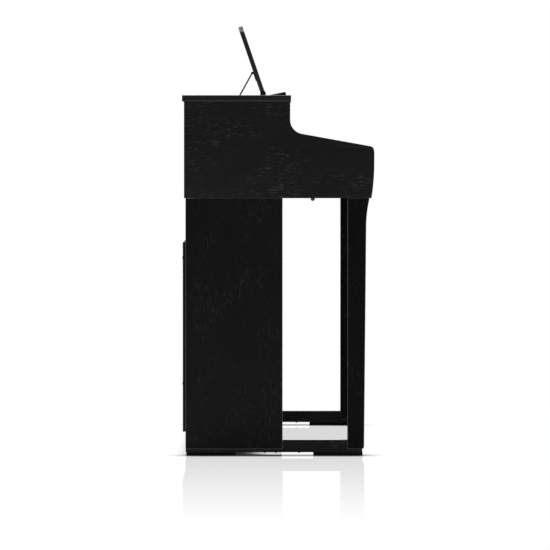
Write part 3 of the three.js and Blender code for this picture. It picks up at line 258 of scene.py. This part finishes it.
def drawn_metal(name, base, worn, roughness, along="X"):
    """Drawn or rolled metal: fine lines along the way it was pulled, duller where handled."""
    material, tree = new_material(name)
    lines = add(tree, "ShaderNodeTexNoise", {
        "Vector": object_position(tree, grain_scale(along, DRAW_LENGTH, DRAW_WIDTH)),
        "Scale": 1.0, "Detail": 2.0})
    cloud = add(tree, "ShaderNodeTexNoise", {
        "Vector": object_position(tree, even_scale(TARNISH_SIZE)), "Scale": 1.0, "Detail": 3.0})
    colour = add(tree, "ShaderNodeMix", {
        "Factor": cloud.outputs[0], "A": linear(base), "B": linear(worn)}, data_type="RGBA")
    rough = add(tree, "ShaderNodeMapRange", {
        "Value": lines.outputs[0], "From Min": 0.3, "From Max": 0.7,
        "To Min": roughness - DRAW_SHINIER, "To Max": roughness + DRAW_DULLER})
    bump = add(tree, "ShaderNodeBump", {
        "Height": lines.outputs[0], "Strength": 0.2, "Distance": DRAW_DEPTH})
    shader = add(tree, "ShaderNodeBsdfPrincipled", {
        "Base Color": colour.outputs[2], "Roughness": rough.outputs[0], "Normal": bump.outputs[0],
        "Metallic": 1.0})
    finish_material(tree, shader)
    return material


PEEL_SIZE = 2 * MM  # orange peel of sprayed powder
PEEL_DEPTH = 0.05 * MM
POWDER_CLOUD = 50 * MM
POWDER_ROUGHNESS = (0.42, 0.55)


def powder_coat(name, base, worn):
    """Powder-coated steel sheet: orange-peel skin with a dull sheen."""
    material, tree = new_material(name)
    peel = add(tree, "ShaderNodeTexNoise", {
        "Vector": object_position(tree, even_scale(PEEL_SIZE)), "Scale": 1.0, "Detail": 1.0})
    cloud = add(tree, "ShaderNodeTexNoise", {
        "Vector": object_position(tree, even_scale(POWDER_CLOUD)), "Scale": 1.0, "Detail": 2.0})
    colour = add(tree, "ShaderNodeMix", {
        "Factor": cloud.outputs[0], "A": linear(base), "B": linear(worn)}, data_type="RGBA")
    rough = add(tree, "ShaderNodeMapRange", {
        "Value": cloud.outputs[0], "To Min": POWDER_ROUGHNESS[0], "To Max": POWDER_ROUGHNESS[1]})
    bump = add(tree, "ShaderNodeBump", {
        "Height": peel.outputs[0], "Strength": 0.3, "Distance": PEEL_DEPTH})
    shader = add(tree, "ShaderNodeBsdfPrincipled", {
        "Base Color": colour.outputs[2], "Roughness": rough.outputs[0], "Normal": bump.outputs[0],
        "IOR": 1.5})
    finish_material(tree, shader)
    return material


BAND_PAINTED_LIGHT_TONES = [  # share of the rest's height, colour; lighter towards the foot as a painted reflection, with a bright painted highlight stripe near the top
    (0.0, "#757474"), (0.2, "#5e5d5d"), (0.4, "#454444"), (0.89, "#3a3939"), (0.91, "#5a5a5a"),
    (0.925, "#f4f4f4"), (0.942, "#f4f4f4"), (0.955, "#6c6c6c"), (1.0, "#646464"),
]
BAND_CLOUD = 4 * MM
BAND_SPREAD = 0.2  # of its tone, either way


def edge_band_painted_light(name, low, high):
    """ABS edge banding, ironed on, with painted light: a painted reflection makes it grey at the rest's
    foot, and a painted highlight makes a bright stripe near its top.
    """
    material, tree = new_material(name)
    place = add(tree, "ShaderNodeTexCoord").outputs["Object"]
    height = add(tree, "ShaderNodeSeparateXYZ", {0: place})
    along = add(tree, "ShaderNodeMapRange", {
        "Value": height.outputs["Z"], "From Min": low, "From Max": high})
    cloud = add(tree, "ShaderNodeTexNoise", {
        "Vector": object_position(tree, even_scale(BAND_CLOUD)), "Scale": 1.0, "Detail": 2.0})
    tone = add(tree, "ShaderNodeValToRGB", {0: along.outputs[0]})
    ramp = tone.color_ramp.elements
    ramp[0].color = linear(BAND_PAINTED_LIGHT_TONES[0][1])
    ramp[1].color = linear(BAND_PAINTED_LIGHT_TONES[-1][1])
    for share, hex_colour in BAND_PAINTED_LIGHT_TONES[1:-1]:
        ramp.new(share).color = linear(hex_colour)
    spread = add(tree, "ShaderNodeMix", {
        "Factor": cloud.outputs[0], "A": even_tone(1 - BAND_SPREAD), "B": even_tone(1 + BAND_SPREAD)},
        data_type="RGBA")
    colour = add(tree, "ShaderNodeMix", {
        "Factor": 1.0, "A": tone.outputs[0], "B": spread.outputs[2]},
        data_type="RGBA", blend_type="MULTIPLY")
    shader = add(tree, "ShaderNodeBsdfPrincipled", {
        "Base Color": colour.outputs[2], "Roughness": 0.4, "IOR": ABS_IOR})
    finish_material(tree, shader)
    return material


FIBRE_SIZE = 1.2 * MM  # matted fibres, drawn coarser than life
FIBRE_DEPTH = 0.3 * MM


def wool_felt(name, base, fibre):
    """Pressed wool felt: matted fibres that scatter light into a soft edge."""
    material, tree = new_material(name)
    fibres = add(tree, "ShaderNodeTexNoise", {
        "Vector": object_position(tree, even_scale(FIBRE_SIZE)),
        "Scale": 1.0, "Detail": 4.0, "Roughness": 0.7})
    colour = add(tree, "ShaderNodeMix", {
        "Factor": fibres.outputs[0], "A": linear(base), "B": linear(fibre)}, data_type="RGBA")
    bump = add(tree, "ShaderNodeBump", {
        "Height": fibres.outputs[0], "Strength": 0.8, "Distance": FIBRE_DEPTH})
    shader = add(tree, "ShaderNodeBsdfPrincipled", {
        "Base Color": colour.outputs[2], "Roughness": 0.95, "Normal": bump.outputs[0],
        "Sheen Weight": 0.5})
    finish_material(tree, shader)
    return material


# the music rest's ends: ABS edge band with a painted reflection and a painted highlight stripe
REST_BAND_PAINTED_LIGHT = edge_band_painted_light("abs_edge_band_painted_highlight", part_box("music_rest")[0][2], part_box("music_rest")[1][2])

# vinyl foils: one near-black satin, in copies that are darker and duller on the columns and the legs as
# painted shade, and lighter on the top board as painted light
GRAIN = {
    along: woodgrain(f"woodgrain_foil_along_{along.lower()}", along, "#1e1d1d", "#252424", "#565452")
    for along in "XY"
}
LID_GRAIN_PAINTED_LIGHT = woodgrain("woodgrain_foil_top_board_painted_light", "X", "#2a2929", "#302f2f", "#565453")
COLUMN_GRAIN_PAINTED_SHADE = woodgrain(
    "woodgrain_foil_column_painted_shade", "Z", "#141313", "#191818", "#454342", gloss=0.42)
LEG_GRAIN_PAINTED_SHADE = woodgrain("woodgrain_foil_leg_painted_shade", "Z", "#0b0b0b", "#0f0f0f", "#383635", gloss=0.28)
REST_FOIL = woodgrain("woodgrain_foil_rest", "X", "#1f1e1e", "#262525", "#454342")

# a thin paler line on rounded edges: a painted highlight in the same foil, brightest on the top board and
# faint on the cabinet boards
LID_EDGE_PAINTED_HIGHLIGHT = moulded("lid_edge_painted_highlight", "#8b8987", "#989694", 0.35, grit=2.0 * MM)
STAND_EDGE_PAINTED_HIGHLIGHT = moulded("stand_edge_painted_highlight", "#747270", "#807e7c", 0.36, grit=2.0 * MM)
BOARD_EDGE_PAINTED_HIGHLIGHT = moulded("board_edge_faint_painted_highlight", "#2f2e2d", "#393736", 0.42, grit=2.0 * MM)

# acrylic caps: warm white with a clear shine; ABS: dull black; rubber: blacker and matt
KEY_WHITE = moulded(
    "acrylic_white_key", "#f1eee6", "#ece8dd", 0.22, grit=1.5 * MM, depth=0.01 * MM, ior=1.49)
KEY_BLACK = moulded("abs_black_key", "#131313", "#1b1b1b", 0.38, grit=1.0 * MM)
ABS_BLACK = moulded("abs_black_fitting", "#151515", "#1d1d1d", 0.45)
RUBBER = moulded("moulded_rubber_pad", "#0e0e0e", "#181818", 0.8, grit=1.5 * MM, depth=0.1 * MM)

# solder-masked glass laminate: an even green; dipped PVC: a dull black skin over the wire
LAMINATE = moulded("green_circuit_laminate", "#1c5c38", "#237045", 0.4)
COATED_WIRE = moulded("dipped_pvc_wire_coat", "#0a0a0a", "#101010", 0.6, grit=1.0 * MM)

# sprayed hardboard: flat black with a faint pebble
HARDBOARD = moulded(
    "black_painted_hardboard", "#161616", "#1d1d1d", 0.5, grit=3.0 * MM, depth=0.08 * MM)

# metals: dull black coated sheet, grey-white zinc, and warm polished brass
COATED_STEEL = powder_coat("powder_coated_steel", "#1f1f20", "#2a2a2b")
PLATED_STEEL = drawn_metal("zinc_plated_steel", "#8f9092", "#7c7d80", 0.3)
BRASS = drawn_metal("polished_brass", "#d9b25e", "#b98f45", 0.2, along="Y")
FELT = wool_felt("red_wool_felt", "#5e1018", "#8a1f2a")


# ---------------------------------------------------------------- meshes

BODY_OF = {node: body for body, nodes in frame["record"]["behaviour"]["bodies"].items() for node in nodes}
SLOT_OF = {part["node"]: part["material_slot"] for part in frame["record"]["subparts"]}

RIM_SLOT = 1  # the material of a piece's rounded edges, which paints a highlight line on them where a rim finish is given
SHARP_ANGLE = math.radians(35)  # steeper edges stay sharp in the shading
BEVEL_ANGLE = math.radians(30)  # steeper edges are rounded
FLAT_ANGLE = math.radians(0.5)  # faces that lean less than this are one face
WELD = 0.002 * MM


def link(name, mesh, body):
    """A new piece that rides on a body."""
    piece = bpy.data.objects.new(name, mesh)
    bpy.context.collection.objects.link(piece)
    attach(piece, body)
    return piece


def smooth(mesh):
    for polygon in mesh.polygons:
        polygon.use_smooth = True
    mesh.set_sharp_from_angle(angle=SHARP_ANGLE)


def small_piece(name, surface, material):
    """A fitting of the cabinet, made from its finished surface."""
    mesh = bpy.data.meshes.new(name)
    surface.to_mesh(mesh)
    surface.free()
    smooth(mesh)
    mesh.materials.append(material)
    return link(name, mesh, "cabinet")


def softened(mesh, name, edge, segments):
    """The mesh with every sharp edge rounded, as a new mesh."""
    maker = bpy.data.objects.new(name, mesh)
    bpy.context.collection.objects.link(maker)
    bevel = maker.modifiers.new("edge", "BEVEL")
    bevel.width = edge
    bevel.segments = segments
    bevel.limit_method = "ANGLE"
    bevel.angle_limit = BEVEL_ANGLE
    # the rounded edges take the rim slot, whose finish can paint a highlight line on them
    bevel.material = RIM_SLOT
    even = maker.modifiers.new("even", "WEIGHTED_NORMAL")
    even.keep_sharp = True
    depsgraph = bpy.context.evaluated_depsgraph_get()
    rounded = bpy.data.meshes.new_from_object(maker.evaluated_get(depsgraph))
    rounded.name = name
    bpy.data.objects.remove(maker)
    return rounded


def clean_copy(node):
    """The node's own surface as flat faces, ready for its edges to be rounded."""
    surface = bmesh.new()
    surface.from_mesh(NODES[node].data)
    bmesh.ops.remove_doubles(surface, verts=surface.verts, dist=WELD)
    bmesh.ops.dissolve_limit(
        surface, angle_limit=FLAT_ANGLE, verts=surface.verts, edges=surface.edges, delimit={"NORMAL"})
    mesh = bpy.data.meshes.new(node)
    surface.to_mesh(mesh)
    surface.free()
    return mesh


def dressed(node, ending, material, edge, segments=3, rim=None, shape=None):
    """A piece that stands for a CAD node: the same form with rounded edges and its own finish."""
    mesh = clean_copy(node)
    if shape:
        shape(mesh)
    smooth(mesh)
    mesh.materials.append(material)
    mesh.materials.append(rim or material)
    rounded = softened(mesh, f"{node}_{ending}", edge, segments)
    smooth(rounded)
    piece = link(f"{node}_{ending}", rounded, BODY_OF[node])
    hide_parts(node)
    return piece


# ---------------------------------------------------------------- the piano

BOARD_EDGE = 1.2 * MM
THIN_EDGE = 0.7 * MM
LID_EDGE = 2.0 * MM
FOOT_EDGE = 0.5 * MM
PAD_EDGE = 0.3 * MM
REST_EDGE = 0.8 * MM
SHEET_EDGE = 0.5 * MM
FINE_EDGE = 0.2 * MM

BOARDS = [
    ("left_side_panel", "Y", BOARD_EDGE),
    ("right_side_panel", "Y", BOARD_EDGE),
    ("key_bed", "X", THIN_EDGE),
    ("upper_front_panel", "X", BOARD_EDGE),
    ("key_slip", "X", BOARD_EDGE),
    ("left_cheek_block", "Y", BOARD_EDGE),
    ("right_cheek_block", "Y", BOARD_EDGE),
    ("name_board", "X", BOARD_EDGE),
    ("key_cover", "X", BOARD_EDGE),
    ("pedal_box", "X", BOARD_EDGE),
]

# the cabinet boards' rounded edges get a faint painted highlight line
for node, along, edge in BOARDS:
    dressed(node, "board", GRAIN[along], edge, rim=BOARD_EDGE_PAINTED_HIGHLIGHT)

for node in ("cabinet_back_panel", "stand_back_board"):
    dressed(node, "board", HARDBOARD, THIN_EDGE)

# the top board: a lighter foil copy as painted light, with a bright painted highlight line on its rounded
# edges
dressed("top_board", "board", LID_GRAIN_PAINTED_LIGHT, LID_EDGE, rim=LID_EDGE_PAINTED_HIGHLIGHT)

WIRE_COAT = 0.25 * MM
SEAM = 0.35 * MM  # the foot bar's raised part reaches the column and the leg
SEAM_FOOT = 15.9 * MM
SEAM_REACH = 190 * MM


def coated(mesh):
    """The wire with its coating on."""
    places = [vertex.co + vertex.normal * WIRE_COAT for vertex in mesh.vertices]
    for vertex, place in zip(mesh.vertices, places):
        vertex.co = place


def close_seams(mesh):
    """Lets no light through between the raised part of a foot bar and its neighbours."""
    for vertex in mesh.vertices:
        if vertex.co.z > SEAM_FOOT and -SEAM_REACH < vertex.co.y < 0:
            vertex.co.y += SEAM if vertex.co.y > -SEAM_REACH / 2 else -SEAM


# columns and legs: darker foil copies as painted shade; columns, legs and foot bars: rounded edges with a
# painted highlight line
for side in ("left", "right"):
    dressed(f"{side}_column", "board", COLUMN_GRAIN_PAINTED_SHADE, BOARD_EDGE, rim=STAND_EDGE_PAINTED_HIGHLIGHT)
    dressed(f"{side}_front_leg", "board", LEG_GRAIN_PAINTED_SHADE, BOARD_EDGE, rim=STAND_EDGE_PAINTED_HIGHLIGHT)
    dressed(f"{side}_foot_bar", "board", GRAIN["Y"], FOOT_EDGE, rim=STAND_EDGE_PAINTED_HIGHLIGHT, shape=close_seams)
    dressed(f"{side}_front_pad", "foot", RUBBER, PAD_EDGE)
    dressed(f"{side}_rear_pad", "foot", RUBBER, PAD_EDGE)
    dressed(f"{side}_cover_rail", "runner", ABS_BLACK, THIN_EDGE)
    dressed(f"{side}_rest_hinge", "moulding", ABS_BLACK, THIN_EDGE)
    dressed(f"{side}_speaker", "driver", COATED_STEEL, THIN_EDGE, segments=2)

ENDWISE = 0.5  # a face that leans less than this towards X isn't one of the rest's ends
rest = dressed("music_rest", "plate", REST_FOIL, REST_EDGE, rim=REST_BAND_PAINTED_LIGHT)
# the ends of the rest take the edge band, with its painted reflection and painted highlight stripe
for polygon in rest.data.polygons:
    if abs(polygon.normal.x) > ENDWISE:
        polygon.material_index = RIM_SLOT
dressed("book_ledge", "moulding", ABS_BLACK, THIN_EDGE)
dressed("rest_prop", "wire", COATED_WIRE, FINE_EDGE, segments=1, shape=coated)

PLAYED = {  # slot: ending, finish, edge, segments
    "white_key": ("cap", KEY_WHITE, 0.6 * MM, 3),
    "black_key": ("cap", KEY_BLACK, 1.0 * MM, 3),
    "brass": ("lever", BRASS, 2.5 * MM, 4),
}

for node, slot_name in SLOT_OF.items():
    if slot_name in PLAYED:
        dressed(node, *PLAYED[slot_name])

dressed("keyboard_frame", "chassis", COATED_STEEL, THIN_EDGE)
dressed("rear_jack_plate", "plate", COATED_STEEL, SHEET_EDGE)
dressed("main_board", "laminate", LAMINATE, FINE_EDGE, segments=1)
dressed("headphone_box", "case", ABS_BLACK, THIN_EDGE)
dressed("headphone_hook", "strip", PLATED_STEEL, SHEET_EDGE)
dressed("pedal_adjuster", "foot", ABS_BLACK, THIN_EDGE)
for node in ("power_button", "function_button", "volume_slider"):
    dressed(node, "cap", ABS_BLACK, THIN_EDGE)


# ---------------------------------------------------------------- screws, sockets and felt

TURNED_SIDES = 24
PAN_HEAD = [  # share of the head's radius, share of its height
    (1.0, 0.0), (1.0, 0.3), (0.93, 0.62), (0.75, 0.88), (0.52, 1.0), (0.46, 1.0), (0.2, 1.0)]
RECESS_REACH = 0.5
RECESS_HALF_WIDTH = 0.16
RECESS_DEPTH = 0.6


def facing(way):
    """The turn that points a piece made upright the given way."""
    return Vector((0, 0, 1)).rotation_difference(Vector(way))


def screw_head(name, place, way, radius, rise, material):
    """A pan head with a cross recess, seated on a surface that faces the given way."""
    turn = facing(way)
    surface = bmesh.new()
    rings = []
    for reach, height in PAN_HEAD:
        ring = []
        for step in range(TURNED_SIDES):
            angle = 2 * math.pi * step / TURNED_SIDES
            across, up = reach * math.cos(angle), reach * math.sin(angle)
            cut = reach < RECESS_REACH and min(abs(across), abs(up)) < RECESS_HALF_WIDTH
            level = rise * (height - (RECESS_DEPTH if cut else 0))
            point = turn @ Vector((radius * across, radius * up, level))
            ring.append(surface.verts.new(Vector(place) + point))
        rings.append(ring)
    for outer, inner in zip(rings, rings[1:]):
        for step in range(TURNED_SIDES):
            after = (step + 1) % TURNED_SIDES
            surface.faces.new((outer[step], outer[after], inner[after], inner[step]))
    surface.faces.new(rings[-1])
    surface.faces.new(reversed(rings[0]))
    small_piece(name, surface, material)


def turned_ring(name, place, way, outline, material):
    """A ring turned from a closed outline of radius and height pairs."""
    turn = facing(way)
    surface = bmesh.new()
    loops = []
    for step in range(TURNED_SIDES):
        angle = 2 * math.pi * step / TURNED_SIDES
        points = [
            turn @ Vector((reach * math.cos(angle), reach * math.sin(angle), level))
            for reach, level in outline]
        loops.append([surface.verts.new(Vector(place) + point) for point in points])
    for step in range(TURNED_SIDES):
        here, there = loops[step], loops[(step + 1) % TURNED_SIDES]
        for corner in range(len(outline)):
            past = (corner + 1) % len(outline)
            surface.faces.new((here[corner], there[corner], there[past], here[past]))
    bmesh.ops.recalc_face_normals(surface, faces=surface.faces)
    small_piece(name, surface, material)


BOLT_RADIUS = 2.9 * MM
BOLT_RISE = 2.0 * MM
BOLT_PLACES = (70.9 * MM, 97.2 * MM, 153.7 * MM)  # ahead of the rear pad
BACK_SCREW_RADIUS = 4.0 * MM
BACK_SCREW_RISE = 1.0 * MM
BACK_SCREW_DROP = 37 * MM  # under the top of the stand's back board
BACK_SCREW_CLIMB = 117.5 * MM  # above its lower edge
PANEL_SCREWS = 7
PANEL_SCREW_INSET = 9 * MM
PANEL_SCREW_RADIUS = 3.5 * MM
PANEL_SCREW_RISE = 1.6 * MM

board_low, board_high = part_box("stand_back_board")
board_screw_heights = {
    "lower": board_low[2] + BACK_SCREW_CLIMB,
    "upper": board_high[2] - BACK_SCREW_DROP,
}
for side in ("left", "right"):
    bar_low, bar_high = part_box(f"{side}_foot_bar")
    pad_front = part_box(f"{side}_rear_pad")[0][1]
    middle = (bar_low[0] + bar_high[0]) / 2
    for number, ahead in enumerate(BOLT_PLACES):
        place = (middle, pad_front - ahead, bar_low[2])
        screw_head(
            f"{side}_foot_bolt_{number}", place, (0, 0, -1),
            BOLT_RADIUS, BOLT_RISE, COATED_STEEL)
    for end, height in board_screw_heights.items():
        screw_head(
            f"{side}_{end}_board_screw", (middle, board_high[1], height), (0, 1, 0),
            BACK_SCREW_RADIUS, BACK_SCREW_RISE, COATED_STEEL)

panel_low, panel_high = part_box("cabinet_back_panel")
panel_run = panel_high[0] - panel_low[0] - 2 * PANEL_SCREW_INSET
panel_screw_heights = {
    "lower": panel_low[2] + PANEL_SCREW_INSET,
    "upper": panel_high[2] - PANEL_SCREW_INSET,
}
for number in range(PANEL_SCREWS):
    across = panel_low[0] + PANEL_SCREW_INSET + panel_run * number / (PANEL_SCREWS - 1)
    for row, height in panel_screw_heights.items():
        screw_head(
            f"{row}_panel_screw_{number}", (across, panel_high[1], height), (0, 1, 0),
            PANEL_SCREW_RADIUS, PANEL_SCREW_RISE, PLATED_STEEL)

SOCKET_PITCH = 26 * MM
SOCKET_OUTLINE = [  # radius, height
    (3.4 * MM, 0), (3.4 * MM, 0.9 * MM), (3.8 * MM, 1.2 * MM), (5.6 * MM, 1.2 * MM), (6.2 * MM, 0)]

box_low, box_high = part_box("headphone_box")
for number, shift in enumerate((-SOCKET_PITCH / 2, SOCKET_PITCH / 2)):
    place = ((box_low[0] + box_high[0]) / 2 + shift, box_low[1], (box_low[2] + box_high[2]) / 2)
    turned_ring(
        f"headphone_socket_{number}", place, (0, -1, 0), SOCKET_OUTLINE, PLATED_STEEL)

FELT_DEPTH = 6 * MM
FELT_PROUD = 3 * MM  # ahead of the name board
FELT_THICKNESS = 1.8 * MM


def felt_strip():
    """The felt glued under the name board, whose rolled edge shows over the keys."""
    low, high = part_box("name_board")
    front, top = low[1] - FELT_PROUD, low[2]
    half = FELT_THICKNESS / 2
    outline = [(front + FELT_DEPTH, top), (front + half, top)]
    outline += [
        (front + half - half * math.sin(turn), top - half + half * math.cos(turn))
        for turn in (math.pi / 4, math.pi / 2, 3 * math.pi / 4)]
    outline += [(front + half, top - FELT_THICKNESS), (front + FELT_DEPTH, top - FELT_THICKNESS)]
    surface = bmesh.new()
    ends = [[surface.verts.new((x, y, z)) for y, z in outline] for x in (low[0], high[0])]
    for corner in range(len(outline)):
        past = (corner + 1) % len(outline)
        surface.faces.new((ends[0][corner], ends[1][corner], ends[1][past], ends[0][past]))
    surface.faces.new(ends[0])
    surface.faces.new(reversed(ends[1]))
    bmesh.ops.recalc_face_normals(surface, faces=surface.faces)
    small_piece("name_board_felt", surface, FELT)


felt_strip()


# ---------------------------------------------------------------- studio

FLOOR_HALF = 30.0
MIRROR = 0.34  # share of a faint mirror image at the piano's foot, seen along the floor
MIRROR_FADE = 2.2  # metres from the piano over which it goes
CONTACT_REACH = 0.055  # metres under a foot's edge that its contact shadow covers
CONTACT_RANGE = (0.62, 1.0)  # share of open floor, from darkest to white
CONTACT_DARKEST = 0.03
FLOOR_BOUNCE = 0.38  # of the light that falls on it


def studio_floor():
    """A plain white floor, polished so lightly that only a faint mirror image stays in it."""
    material, tree = new_material("white_studio_floor")
    place = add(tree, "ShaderNodeTexCoord").outputs["Object"]
    half = ((cad_high[0] - cad_low[0]) / 2, (cad_high[1] - cad_low[1]) / 2, 0)
    size = add(tree, "ShaderNodeVectorMath", {0: place}, operation="ABSOLUTE")
    past = add(tree, "ShaderNodeVectorMath", {0: size.outputs[0], 1: half}, operation="SUBTRACT")
    outside = add(tree, "ShaderNodeVectorMath", {
        0: past.outputs[0], 1: (0, 0, 0)}, operation="MAXIMUM")
    distance = add(tree, "ShaderNodeVectorMath", {0: outside.outputs[0]}, operation="LENGTH")
    mirror = add(tree, "ShaderNodeMapRange", {
        "Value": distance.outputs["Value"], "From Max": MIRROR_FADE, "To Min": MIRROR, "To Max": 0.0})
    glancing = add(tree, "ShaderNodeLayerWeight", {"Blend": 0.5})
    gloss = add(tree, "ShaderNodeMath", {0: glancing.outputs["Facing"], 1: 2.0}, operation="POWER")
    share = add(tree, "ShaderNodeMath", {
        0: mirror.outputs[0], 1: gloss.outputs[0]}, operation="MULTIPLY")
    touch = add(tree, "ShaderNodeAmbientOcclusion", {"Distance": CONTACT_REACH}, samples=8)
    shade = add(tree, "ShaderNodeMapRange", {
        "Value": touch.outputs["AO"], "From Min": CONTACT_RANGE[0], "From Max": CONTACT_RANGE[1],
        "To Min": CONTACT_DARKEST})
    seen = add(tree, "ShaderNodeEmission", {"Strength": shade.outputs[0]})
    image = add(tree, "ShaderNodeBsdfGlossy", {"Color": (1, 1, 1, 1), "Roughness": 0.0})
    surface = add(tree, "ShaderNodeMixShader", {
        0: share.outputs[0], 1: seen.outputs[0], 2: image.outputs[0]})
    dull = add(tree, "ShaderNodeBsdfDiffuse", {"Color": even_tone(FLOOR_BOUNCE)})
    ray = add(tree, "ShaderNodeLightPath")
    both = add(tree, "ShaderNodeMixShader", {
        0: ray.outputs["Is Camera Ray"], 1: dull.outputs[0], 2: surface.outputs[0]})
    finish_material(tree, both)
    mesh = bpy.data.meshes.new("studio_floor")
    corners = [(-1, -1), (1, -1), (1, 1), (-1, 1)]
    mesh.from_pydata([(x * FLOOR_HALF, y * FLOOR_HALF, 0) for x, y in corners], [], [(0, 1, 2, 3)])
    mesh.materials.append(material)
    floor = bpy.data.objects.new("studio_floor", mesh)
    bpy.context.collection.objects.link(floor)


DIM_SIDE = 0.09  # the room's light from the bass side
BRIGHT_SIDE = 0.75  # its light from everywhere else
DIM_RANGE = (-1.0, -0.1)  # along X, between the two


def studio_world():
    """White to the eye and in the floor's mirror; as a light, dim on the bass side only."""
    world = bpy.data.worlds.new("studio")
    world.use_nodes = True
    tree = world.node_tree
    tree.nodes.clear()
    way = add(tree, "ShaderNodeTexCoord").outputs["Generated"]
    axes = add(tree, "ShaderNodeSeparateXYZ", {0: way})
    glow = add(tree, "ShaderNodeMapRange", {
        "Value": axes.outputs["X"], "From Min": DIM_RANGE[0], "From Max": DIM_RANGE[1],
        "To Min": DIM_SIDE, "To Max": BRIGHT_SIDE}, interpolation_type="SMOOTHSTEP")
    soft = add(tree, "ShaderNodeBackground", {"Strength": glow.outputs[0]})
    white = add(tree, "ShaderNodeBackground", {"Strength": 1.0, "Color": (1, 1, 1, 1)})
    ray = add(tree, "ShaderNodeLightPath")
    plain = add(tree, "ShaderNodeMath", {
        0: ray.outputs["Is Camera Ray"], 1: ray.outputs["Is Singular Ray"]}, operation="MAXIMUM")
    both = add(tree, "ShaderNodeMixShader", {
        0: plain.outputs[0], 1: soft.outputs[0], 2: white.outputs[0]})
    add(tree, "ShaderNodeOutputWorld", {"Surface": both.outputs[0]})
    bpy.context.scene.world = world


OVERHEAD_PLACE = (0.3, 0, 3.4)
OVERHEAD_AIM = (0, 0, 0.6)
OVERHEAD_WIDTH = 3.0
OVERHEAD_DEPTH = 2.0
OVERHEAD_WATTS = 70


def overhead_softbox():
    data = bpy.data.lights.new("overhead", "AREA")
    data.shape = "RECTANGLE"
    data.size = OVERHEAD_WIDTH
    data.size_y = OVERHEAD_DEPTH
    data.energy = OVERHEAD_WATTS
    light = bpy.data.objects.new("overhead", data)
    light.location = OVERHEAD_PLACE
    way = Vector(OVERHEAD_AIM) - Vector(OVERHEAD_PLACE)
    light.rotation_euler = way.to_track_quat("-Z", "Y").to_euler()
    light.visible_camera = False
    bpy.context.collection.objects.link(light)


studio_floor()
studio_world()
overhead_softbox()
bpy.context.scene.view_settings.view_transform = "Standard"
